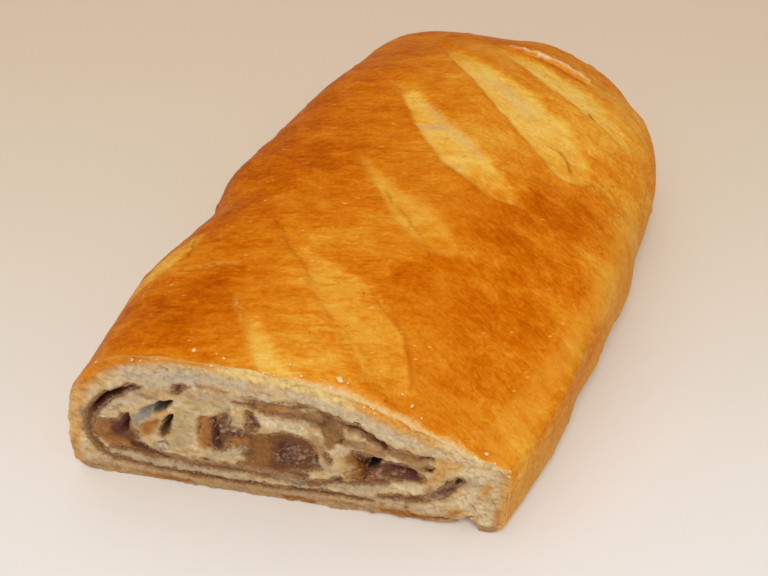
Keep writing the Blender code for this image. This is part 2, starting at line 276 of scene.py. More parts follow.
cutLook = {
    "filling": (
        (
            (23, 39.2, 0.3), (20, 37.6, 0.8), (15, 34.0, 1.1), (11.4, 30.4, 1.4), (9.0, 27, 1.4),
            (7.0, 23, 1.2), (6.3, 18.5, 1.0), (6.8, 14.5, 0.9), (8.0, 11.3, 1.1), (8.4, 9.2, 0.7),
            (11, 7.7, 0.7), (15, 7.2, 0.7), (22, 6.7, 0.45), (30, 6.1, 0.55), (38, 5.5, 0.55),
            (46, 5.4, 0.6), (54, 5.9, 0.5), (62, 6.4, 0.5), (70, 6.8, 0.6), (76, 7.2, 0.6),
            (81, 7.2, 0.6),
        ),
        (
            (12, 12.6, 0.8), (17, 12.6, 1.1), (23, 12, 1.4), (29, 11.3, 1.3), (35, 10.6, 0.9),
            (42, 10.6, 1.0), (48, 10.9, 1.0), (55, 10.6, 1.0), (61, 9.4, 0.8), (66, 10.3, 0.7),
            (70, 11.8, 0.9), (72.8, 13.8, 1.0),
        ),
        ((9.6, 20.5, 1.5), (12, 19.5, 4.3), (14.6, 19, 4.6), (16.2, 22.5, 2.6), (17.6, 26.4, 1.0)),
        ((16.5, 16, 2.6), (19.0, 14.5, 2.0), (21, 13.2, 1.2)),
        ((32.4, 38.6, 0.5), (33.4, 40.4, 1.0), (34.6, 41.6, 0.6)),
        (
            (50, 40.8, 0.3), (53, 40.4, 0.5), (56, 39.6, 0.8), (61, 39.8, 1.4), (66, 39.6, 1.5),
            (70, 38.2, 1.3), (75, 36, 1.1), (78.5, 34.5, 1.3), (82, 32, 1.2), (84.5, 29.8, 1.0),
            (88, 28.6, 0.5), (93, 27.6, 0.6), (95.5, 27.6, 0.4),
        ),
        (
            (48, 38.2, 0.2), (51, 38.2, 0.8), (54, 38.0, 1.6), (60, 37.6, 2.0), (66, 37.2, 1.9),
            (71, 34.8, 2.4), (72, 31.5, 2.1),
        ),
        ((38.4, 21.0, 1.6), (38.8, 25, 1.9), (39.4, 29, 1.6)),
        ((41.5, 20.5, 2.2), (42, 25, 2.8), (43, 29, 2.4), (44.6, 32, 1.2)),
        ((43, 25, 3.0), (46, 25.8, 2.8), (50, 23.4, 3.0)),
        ((51, 34.8, 0.8), (52, 31.4, 1.1), (50.4, 29, 1.2)),
        ((50, 20, 3.5), (55, 20.0, 7.2), (61, 21.6, 7.4), (65.3, 21.4, 5.2)),
        ((60, 26.4, 3.4),),
        ((47.5, 13.4, 1.3), (56, 12.8, 1.8), (63, 12.5, 1.2)),
        (
            (74.5, 15, 0.8), (80, 18.2, 2.0), (82.4, 20, 3.4), (86.5, 20.6, 3.4), (90, 20.6, 3.0),
            (93, 19.4, 1.6),
        ),
        ((78, 25.0, 1.4), (82, 24, 1.4)),
        (
            (64, 10.0, 0.8), (70, 11.9, 0.9), (72.6, 13.6, 1.1), (76, 13.4, 0.8), (80, 14.4, 1.0),
            (84, 16, 1.3),
        ),
        (
            (83.5, 9.6, 0.8), (88, 9.8, 0.9), (92, 10.3, 1.0), (95.5, 11.3, 1.2), (98.5, 14, 1.3),
            (100.8, 16.8, 1.0), (102.8, 19.5, 1.0), (103.6, 21, 1.0),
        ),
        ((94.6, 24.0, 0.3), (96, 24.2, 0.3)),
    ),
    "dough": (    # light layers that lie over the filling
        ((38.6, 15.2, 1.2), (42.5, 16.2, 1.6), (46.5, 18.4, 1.2), (49, 21.3, 0.3)),
        (
            (67, 30, 1.4), (68.3, 25, 1.1), (68.6, 20.4, 1.3), (69.8, 17.6, 1.7), (71.5, 15.8, 1.8),
            (74, 15.0, 1.0),
        ),
        ((10, 11.6, 0.5), (13.5, 10.2, 0.5)),
    ),
    "hollows": (    # stroke, depth at its middle, how steep its walls are
        ((
            (21.6, 38.4, 0.2), (18, 36.8, 0.5), (14.6, 34.0, 0.8), (11.4, 30.8, 0.8), (9.4, 28.0, 0.5),
        ), 2.6, 0.8),
        (((21.6, 27.4, 1.2), (25, 30.4, 2.2), (28.6, 33.4, 1.8), (31, 35.4, 0.5)), 2.6, 2.4),
        (((25.8, 30.8, 0.8), (28.6, 33.2, 1.3), (30.8, 35.1, 0.4)), 8.0, 1.0),
        (((21.6, 20.5, 1.4), (23.4, 23.4, 1.8), (26.0, 26, 1.2)), 1.6, 2.5),
        (((27.0, 22.8, 0.4), (27.8, 25.0, 0.8), (29.0, 27.6, 0.8), (30.3, 29.6, 0.3)), 6.0, 0.8),
        (((18.4, 27.8, 0.5), (17.6, 24, 0.8), (16.0, 20.5, 1.0)), 2.6, 1.6),
        (((75.6, 17.0, 1.2), (76.8, 21, 2.0), (77.2, 23.6, 1.4)), 1.5, 3.0),
        (((78.8, 18, 0.8), (79.2, 21.4, 1.1)), 2.4, 1.8),
        (((80.0, 22.2, 0.9), (81.2, 23.4, 1.4), (82.6, 24.2, 0.9)), 12.0, 1.2),
        (((103.2, 20.6, 0.7),), 5.0, 1.0),
        (((57.0, 33.8, 0.5),), 2.4, 0.8),
        (((73.4, 29.6, 0.5),), 2.0, 0.8),
        (((61, 31.2, 0.4),), 1.4, 0.8),
        (((87.2, 21.8, 1.2), (91.6, 21.4, 1.3)), 2.4, 1.8),
        (((67.9, 21.0, 0.4), (67.4, 18.6, 0.5)), 1.0, 1.2),
        (((8.2, 12.2, 0.5), (8.8, 11.0, 0.4)), 3.0, 1.0),
        (((84.5, 30.0, 0.6), (82.4, 32.6, 0.5)), 2.5, 1.0),
        (((76, 35.6, 0.8), (79.4, 34.2, 0.7)), 1.8, 1.2),
        (((41.6, 20.5, 0.6), (41.6, 26.0, 0.7), (41.4, 31.0, 0.5)), 2.2, 1.4),
        (((111.2, 15.0, 0.5), (112.0, 12.4, 0.5)), 1.6, 1.0),
        (((108.4, 18.4, 0.5),), 1.6, 1.0),
        (((106.0, 12.6, 0.4), (107.4, 10.6, 0.5)), 1.4, 1.0),
        (((110.0, 8.6, 0.5), (111.6, 6.6, 0.4)), 1.4, 1.0),
        (((99.0, 6.0, 0.4), (101.6, 7.4, 0.5)), 1.2, 1.0),
    ),
    # colour, roughness, softness and strokes, laid on in this order
    "tones": (
        ((190, 170, 122), 0.9, 2.5, (
            ((30.5, 18, 1.6), (32.5, 25, 2.4), (34, 31, 1.8)), ((45, 36, 1.0), (36, 36, 1.0)),
        )),
        ((228, 172, 100), 1.0, 2.6, (
            ((2.0, 15, 0.8), (3.0, 25, 1.6), (6.8, 34.4, 1.8), (11.4, 40.2, 1.6), (15, 43, 0.8)),
        )),
        ((208, 186, 152), 1.0, 1.8, (
            ((11.4, 27.2, 0.7), (16, 31.4, 1.5), (21.4, 35.4, 1.5), (24.6, 36.8, 0.6)),
            ((22, 41.6, 1.4), (30, 40.8, 1.6)), ((50.5, 42.0, 1.2), (57, 42.0, 1.0)),
            ((66, 33, 1.4), (60, 33, 1.6)), ((72, 8.8, 0.4), (80, 9.4, 0.6)),
        )),
        ((230, 210, 170), 1.0, 1.8, (
            ((54, 33.4, 1.2), (58, 32, 1.8), (64, 31.5, 1.2)), ((87, 14.8, 0.8), (93, 14.2, 1.3)),
            ((104, 24.6, 1.2), (110, 25.6, 1.4)), ((106, 15, 1.2), (104.6, 11, 1.2)),
            ((110.4, 12, 1.0), (110.6, 5, 1.0)), ((96, 12, 0.5), (99, 9.6, 0.9)),
        )),
        ((212, 194, 160), 1.0, 2.2, (
            ((22, 43.4, 0.8), (34, 45, 1.2), (50, 45.6, 1.2)),
            ((62, 44.6, 0.8), (72, 42, 1.6), (82, 37.6, 1.6), (91, 32.6, 1.4)),
        )),
        ((192, 176, 146), 1.0, 1.6, (
            ((38.4, 15.0, 0.8), (43, 16.6, 1.1), (48, 20.2, 0.6)),
            ((67, 19.4, 0.7), (69.4, 17.2, 1.4), (72, 15.8, 0.8)), ((84, 7.2, 0.8), (95, 7.2, 0.9)),
            ((108, 20, 1.0), (106.6, 22, 0.8)),
        )),
        ((180, 164, 134), 1.0, 1.6, (
            ((10, 10.6, 0.6), (14, 9.6, 0.8), (24, 9.2, 0.9), (36, 8.4, 0.8), (46, 7.8, 0.6)),
            ((55, 9.4, 0.8), (63, 9.4, 0.7)), ((68, 10.0, 0.5), (78, 11.6, 1.0), (83, 12.6, 0.6)),
        )),
        ((172, 150, 122), 1.0, 1.4, (((24, 15, 1.2), (27, 17.6, 1.6)),)),
        ((168, 126, 88), 0.9, 1.8, (
            ((23, 36.4, 0.8), (27, 36.0, 0.9)), ((36, 12.6, 0.8), (46, 12.6, 0.9), (60, 11.6, 0.8)),
            ((15.6, 29.4, 0.4), (17.2, 31, 0.4)), ((95.4, 10, 0.6), (95.8, 16, 0.8)),
            ((28, 11.6, 0.6), (34, 12, 0.6)), ((4.6, 18, 0.5), (6.0, 27, 0.5)),
        )),
        ((164, 120, 76), 0.8, 1.8, (
            ((87, 28, 1.0), (94, 24.6, 1.6)), ((75, 30, 1.2), (84, 27, 1.0)),
            ((56, 38.8, 1.0), (68, 37.4, 1.4)), ((24, 12.0, 0.8), (34, 12, 0.8)),
        )),
        ((200, 170, 128), 1.0, 1.4, (
            ((36, 39.6, 0.7), (50, 39.8, 0.8)), ((58, 41.4, 0.4), (62, 40.8, 0.5)),
            ((64, 38.4, 0.5), (67, 40.2, 0.4)),
        )),
        ((216, 164, 92), 0.8, 2.0, (
            ((97.4, 21.0, 1.0), (99, 26.4, 2.2), (102.4, 26.4, 1.4)),
            ((109.8, 17.5, 0.9), (110.8, 20.4, 1.0)), ((94.6, 17.6, 0.8), (96.6, 20.4, 0.6)),
            ((66.6, 32.8, 0.8),), ((36.6, 19, 0.6), (36.6, 24, 0.7)),
            ((22.6, 25.8, 0.4), (27, 28.6, 0.7), (31, 30.4, 0.3)),
        )),
        ((228, 166, 80), 0.8, 1.8, (((115.2, 2, 1.2), (115.4, 14, 1.3), (115.2, 26, 1.2)),)),
        ((190, 130, 62), 0.8, 1.6, (
            ((102, 5.6, 1.0), (103.6, 8.6, 0.8)), ((84.0, 4.6, 0.4), (84.2, 6.4, 0.4)),
            ((113.8, 6, 0.5), (113.4, 11, 0.6)),
        )),
        ((152, 110, 64), 0.5, 1.6, (((70.4, 27, 1.0), (71.4, 32, 2.0), (72.6, 37.4, 0.8)),)),
        ((156, 102, 46), 0.6, 2.4, (((51.4, 15.0, 1.6), (53.0, 21, 2.2), (53.6, 26, 1.2)),)),
        ((178, 118, 58), 0.6, 2.2, (
            ((8.4, 17, 1.0), (10.4, 21.4, 1.8)), ((11, 15.2, 1.2), (15, 14.6, 0.8)),
            ((37.8, 19.6, 0.9), (38.2, 26, 1.5), (39, 30.4, 0.8)),
            ((45.6, 22.8, 0.8), (48.6, 23.6, 0.9)),
            ((21.2, 20.6, 0.8), (23.2, 22.8, 1.4), (25.4, 25.6, 0.7)),
        )),
        ((182, 142, 92), 0.8, 1.6, (((67.2, 29, 0.8), (68.4, 24, 0.8)),)),
        # the tan of the smooth hollow wall near q 74 to 82, then darker tones across it towards the deep
        # hole: the darkening is painted shade
        ((204, 170, 114), 0.35, 2.0, (((74.0, 14.4, 0.8), (74.6, 18.6, 1.3), (74.2, 21.6, 1.0)),)),
        ((154, 102, 44), 0.3, 2.0, (((77.0, 14.8, 0.6), (77.4, 19.6, 1.0), (76.0, 23.4, 1.3)),)),
        ((100, 52, 20), 0.3, 1.8, (
            ((79.2, 14.0, 0.4), (79.4, 17.6, 0.8), (79.0, 21.0, 1.1), (77.8, 24.0, 0.9)),
        )),
        ((66, 30, 14), 0.3, 1.5, (((78.8, 23.6, 0.6), (80.0, 21.0, 0.9), (82.0, 22.0, 0.9)),)),
        # painted shade: the crumb greyed in the shallow bowl of the hole near q 20 to 26
        ((150, 144, 136), 0.5, 2.0, (
            ((21.4, 27.0, 0.8), (23.6, 29.2, 1.4), (26.0, 30.8, 0.8)),
            ((20.2, 24.2, 0.4), (20.8, 26.6, 0.8)),
        )),
        ((112, 80, 64), 0.9, 1.8, (
            ((58.6, 16.8, 0.8), (60.4, 21, 1.6), (61, 25, 1.2)), ((44.6, 26, 0.8), (44.4, 31, 0.8)),
        )),
        ((202, 186, 162), 1.0, 2.4, (((20, 43.0, 1.0), (30, 43.6, 1.6), (42, 45.2, 1.2)),)),
        ((190, 134, 76), 0.8, 1.2, (
            ((40.4, 42.5, 0.3), (45.6, 42.2, 0.5)), ((54, 38.2, 0.8), (60, 38.2, 0.9)),
        )),
        ((130, 74, 46), 0.9, 0.9, (
            ((35.6, 41.2, 0.3), (36.8, 41.9, 0.4)), ((38.6, 42.6, 0.3), (39.6, 42.2, 0.2)),
        )),
        ((196, 164, 132), 1.0, 2.0, (((35, 37.6, 0.5), (42, 38.8, 0.7), (48, 38.8, 0.5)),)),
        ((104, 60, 40), 0.9, 1.0, (
            ((20, 6.8, 0.1), (30, 6.2, 0.4), (38, 5.7, 0.4), (46, 5.5, 0.5), (54, 6.0, 0.3)),
            ((60, 6.4, 0.3), (70, 6.8, 0.4), (80, 7.2, 0.3)),
        )),
        ((136, 88, 70), 0.9, 1.6, (((97.6, 13.2, 0.8), (100.4, 16.2, 0.9), (102.6, 19.4, 0.6)),)),
        # painted shade in the cavity near q 85 to 92
        ((100, 56, 44), 0.7, 2.2, (((85.6, 22.4, 1.0), (88.6, 20.8, 1.7), (92, 19.6, 1.3)),)),
        ((150, 98, 76), 0.8, 1.6, (((81.2, 15.6, 0.8), (82.4, 18.6, 1.0)),)),
        ((172, 112, 56), 0.6, 1.6, (
            ((98, 1.8, 0.6), (91, 1.8, 1.2), (84, 1.8, 0.6)), ((58, 1.6, 0.6), (65, 1.6, 0.6)),
            ((20, 1.4, 0.5), (31, 1.6, 0.7)),
        )),
        ((140, 78, 38), 0.6, 1.2, (
            ((100.6, 2.8, 0.7), (98, 2.2, 0.6)), ((92.4, 2.4, 0.5),),
            ((90, 5.6, 0.3), (90.2, 6.6, 0.3)),
        )),
        # the filling's dark maroon in thin lines; where they lie in hollows the darkness is partly painted
        # shade
        ((84, 34, 26), 0.4, 1.1, (
            (
                (9.0, 26.6, 0.8), (11.4, 29.6, 1.0), (14.6, 33.0, 0.8), (18, 36.0, 0.5),
                (22.0, 38.4, 0.1),
            ),
            ((13.8, 19.6, 1.3), (16.4, 22, 1.4), (18.4, 27.8, 0.3)),
            ((17.6, 15.4, 0.7), (21, 14.2, 1.0), (24, 12.6, 0.5), (27, 11.6, 0.4)),
            ((41.0, 19.8, 0.8), (41.4, 26, 1.0), (41.2, 31, 0.4)),
            ((51.0, 35.4, 0.4), (52.2, 31, 0.8)),
            ((76, 35.6, 0.7), (79.6, 34.0, 0.6)),
            ((82, 32.6, 0.3), (84.4, 29.6, 0.7)),
            ((87.0, 22.6, 0.5), (92.0, 20.8, 0.8)),
            ((100.4, 16.2, 0.2), (101.6, 17.6, 0.4)),
            ((32.6, 38.6, 0.3), (33.8, 41, 0.4)),
            ((57.6, 17, 0.6), (58.6, 25, 0.9)),
            ((67.4, 17.6, 0.3), (67.6, 22.6, 0.3)),
            ((93.6, 27.8, 0.3), (96, 28.2, 0.3)),
            ((36.8, 13.8, 0.4), (38, 13.8, 0.3)),
            ((72.2, 12.8, 0.4), (72.8, 14.6, 0.3)),
        )),
        ((198, 168, 134), 1.0, 1.6, (((46.2, 31.2, 0.9),),)),
        ((110, 74, 56), 0.9, 0.8, (
            ((24.0, 17.0, 0.3),), ((25.8, 17.3, 0.3),), ((27.4, 17.6, 0.4),), ((26.2, 15.8, 0.3),),
            ((25.0, 14.6, 0.3),),
        )),
        ((222, 202, 188), 1.0, 0.8, (
            ((24.6, 18.2, 0.3),), ((26.3, 18.6, 0.4),), ((25.3, 16.2, 0.3),), ((27.0, 16.7, 0.4),),
            ((26.6, 14.6, 0.4), (26.8, 13.6, 0.2)), ((46.6, 27.2, 0.4),), ((43.2, 26.4, 0.3),),
            ((41.8, 22.8, 0.2),), ((98.4, 13.0, 0.4),),
        )),
        ((196, 160, 134), 0.9, 1.2, (
            ((83.2, 17.6, 0.3), (83.2, 20.4, 0.3)), ((98, 13.4, 0.4), (99.2, 13.4, 0.3)),
            ((105.0, 19.0, 0.7),),
        )),
        # painted shade: dark brown in the hole near q 26 to 30
        ((74, 38, 18), 0.4, 1.2, (
            ((26.4, 20.4, 0.4), (27.2, 22.4, 1.1), (28.6, 25.4, 1.0), (30.0, 28.0, 0.4)),
        )),
        # painted shade on the walls of the deep hole near q 26 to 30
        ((58, 50, 42), 0.3, 1.3, (((25.6, 29.4, 0.4), (28.2, 31.8, 0.8), (30.0, 33.8, 0.3)),)),
        # painted shade: near black in holes, pits and narrow gaps
        ((30, 15, 9), 0.2, 0.8, (
            ((28.4, 32.2, 0.5), (30.4, 34.2, 0.3)), ((28.4, 25.4, 0.2), (30.0, 28.4, 0.1)),
            ((79.8, 21.0, 0.7), (82.4, 23.4, 0.9)), ((103.2, 20.2, 0.5),), ((57, 33.8, 0.2),),
            ((73.4, 29.4, 0.3),), ((94.4, 24.0, 0.2), (95.8, 23.4, 0.4)), ((107, 6.8, 0.4),),
            ((15.0, 33.0, 0.2), (17.4, 35.2, 0.2)), ((18.4, 26.4, 0.2), (18.6, 28.0, 0.1)),
        )),
        ((206, 142, 78), 0.9, 1.6, (((0.8, 5, 0.8), (0.8, 11, 0.9), (1.4, 15, 0.4)),)),
    ),
    "nutty": (    # where chopped nuts show
        ((59, 20, 3.6), (63, 21.5, 4.0)), ((43.5, 28, 2.6), (47, 27, 2.0)), ((51.6, 32, 1.6),),
        ((83.6, 19.5, 1.6), (87.6, 19.5, 1.2)), ((98.6, 14.2, 1.6),), ((26, 15, 1.4),),
        ((12, 10.6, 1.4),),
    ),
    "stepAside": 0.9,     # how far the edges of the layers wander
    "set": 1.2,           # the layers lie behind the cut's plane, so they are laid out this much lower
    "crumbTone": (218, 188, 136),
    "darkerCrumb": (200, 152, 92),
    "palerCrumb": (234, 216, 186),
    "pinkerCrumb": (190, 156, 136),
    "edgeTone": (232, 188, 120),
    "rims": (    # toasted upper rim: from, to, colour, width
        (8, 28, (222, 130, 20), 4.0), (28, 46, (226, 154, 66), 2.4), (46, 76, (248, 214, 138), 5.4),
        (78, 92, (238, 164, 64), 5.8), (92, 99, (232, 172, 92), 4.2), (99, 112, (240, 214, 158), 3.0),
    ),
    "rimRough": 0.6,
    "baseTone": (152, 110, 72),
    "basePatches": (190, 152, 102),
    "baseSpots": (186, 120, 62),
    "soakedTone": (152, 108, 66),
    "fillingTone": (122, 74, 38),
    # painted shade: the brown laid into the low spots of the fine relief
    "reliefShadeTone": (140, 92, 52),
    "cover": 0.92,        # of the toned strokes
    "gain": 0.93,
}


def cutFields(points):
    # the layout of the cut at points given as x and z of the cut's plane
    front = Station(0.0)
    along = math.hypot(front.right - front.left, form["cutSkew"]) / mm
    q = (points[:, 0] - front.left) / (front.right - front.left) * along
    height = points[:, 2] / mm
    z = height + cutLook["set"] * ease(height, 0.5, 4.0)
    flat = np.column_stack([q, z, np.zeros(len(q))])
    wander = cutLook["stepAside"]
    qq = q + wander * (0.55 * cloud(flat, 3.1, 11, 2) + 0.30 * cloud(flat, 1.1, 12, 2))
    zz = z + wander * (0.50 * cloud(flat, 2.7, 21, 2) + 0.30 * cloud(flat, 1.0, 22, 2))
    fill = np.maximum(nearest(qq, zz, cutLook["filling"]), -nearest(qq, zz, cutLook["dough"]))
    calmQ = 0.5 * (q + qq)
    calmZ = 0.5 * (z + zz)
    hollow = np.zeros(len(q))
    for stroke, depth, reach in cutLook["hollows"]:
        inside = -strokeDistance(calmQ, calmZ, stroke)
        hollow = np.maximum(hollow, depth * ease(inside, -0.25, reach))
    nutty = 1.0 - ease(nearest(qq, zz, cutLook["nutty"]), -1.6, 1.6)
    return {"q": qq, "z": zz, "flat": flat, "fill": fill, "hollow": hollow, "nutty": nutty}


def cutRelief(flat):
    # the crumbly unevenness of the whole cut, in mm inwards
    broad = 0.30 * cloud(flat, 5.0, 61, 2) + 0.36 * cloud(flat * (1.0, 0.7, 1.0), 1.6, 63, 2)
    return broad + 0.16 * cloud(flat, 0.9, 67, 1) + 0.12


def layOn(tone, colour, rough, share):
    return tone + (np.array([*linear(*colour)[:3], rough]) - tone) * share[:, None]


def cutTones(fields, toEdge):
    # the colour of the cut, and as alpha how rough it looks
    fill, flat, height = fields["fill"], fields["flat"], fields["z"]
    patchy = cloud(flat, 2.4, 57, 3)
    nearBase = 1.0 - ease(height, 3.4, 5.0)
    atBase = 1.0 - ease(height, 2.4, 4.6)
    steps = (
        (cutLook["crumbTone"], 1.0, np.ones(len(fill))),
        (cutLook["darkerCrumb"], 1.0, 0.6 * ease(patchy, 0.0, 0.7)),
        (cutLook["palerCrumb"], 1.0, 0.6 * ease(-patchy, 0.0, 0.7)),
        (cutLook["pinkerCrumb"], 1.0, 0.5 * ease(cloud(flat, 1.8, 59, 2), 0.1, 0.7)),
        (cutLook["edgeTone"], 1.0, 0.9 * (1.0 - ease(toEdge + 0.6 * patchy, 0.3, 3.0))),
        (cutLook["baseTone"], 1.0, 0.9 * (1.0 - ease(height + 1.4 * patchy, 2.4, 7.0))),
        (cutLook["basePatches"], 1.0, 0.7 * ease(cloud(flat, 2.2, 91, 2), 0.0, 0.5) * nearBase),
        (cutLook["baseSpots"], 1.0, 0.7 * ease(cloud(flat, 2.0, 95, 2), 0.1, 0.5) * atBase),
        (cutLook["soakedTone"], 0.9, 1.0 - ease(fill, -0.1, 1.4)),
        (cutLook["fillingTone"], 0.8, 1.0 - ease(fill, -1.3, 0.1)),
    )
    tone = np.zeros((len(fill), 4))
    for colour, rough, share in steps:
        tone = layOn(tone, colour, rough, share)
    for colour, rough, soft, strokes in cutLook["tones"]:
        away = nearest(fields["q"], height, strokes)
        tone = layOn(tone, colour, rough, cutLook["cover"] * (1.0 - ease(away, -0.3 * soft, 0.7 * soft)))
    for start, end, colour, reach in cutLook["rims"]:
        here = ease(flat[:, 0], start - 5, start + 3) * (1.0 - ease(flat[:, 0], end - 4, end + 6))
        here = here * ease(flat[:, 1], 24, 31)
        toasted = 1.0 - ease(toEdge + 0.7 * patchy, 0.3 * reach, reach)
        tone = layOn(tone, colour, cutLook["rimRough"], 0.9 * here * toasted)
    tone[:, :3] = np.clip(tone[:, :3] * cutLook["gain"], 0.0, 0.92)
    return tone


# ---- the crust's slashes and marks, on the plan in millimetres

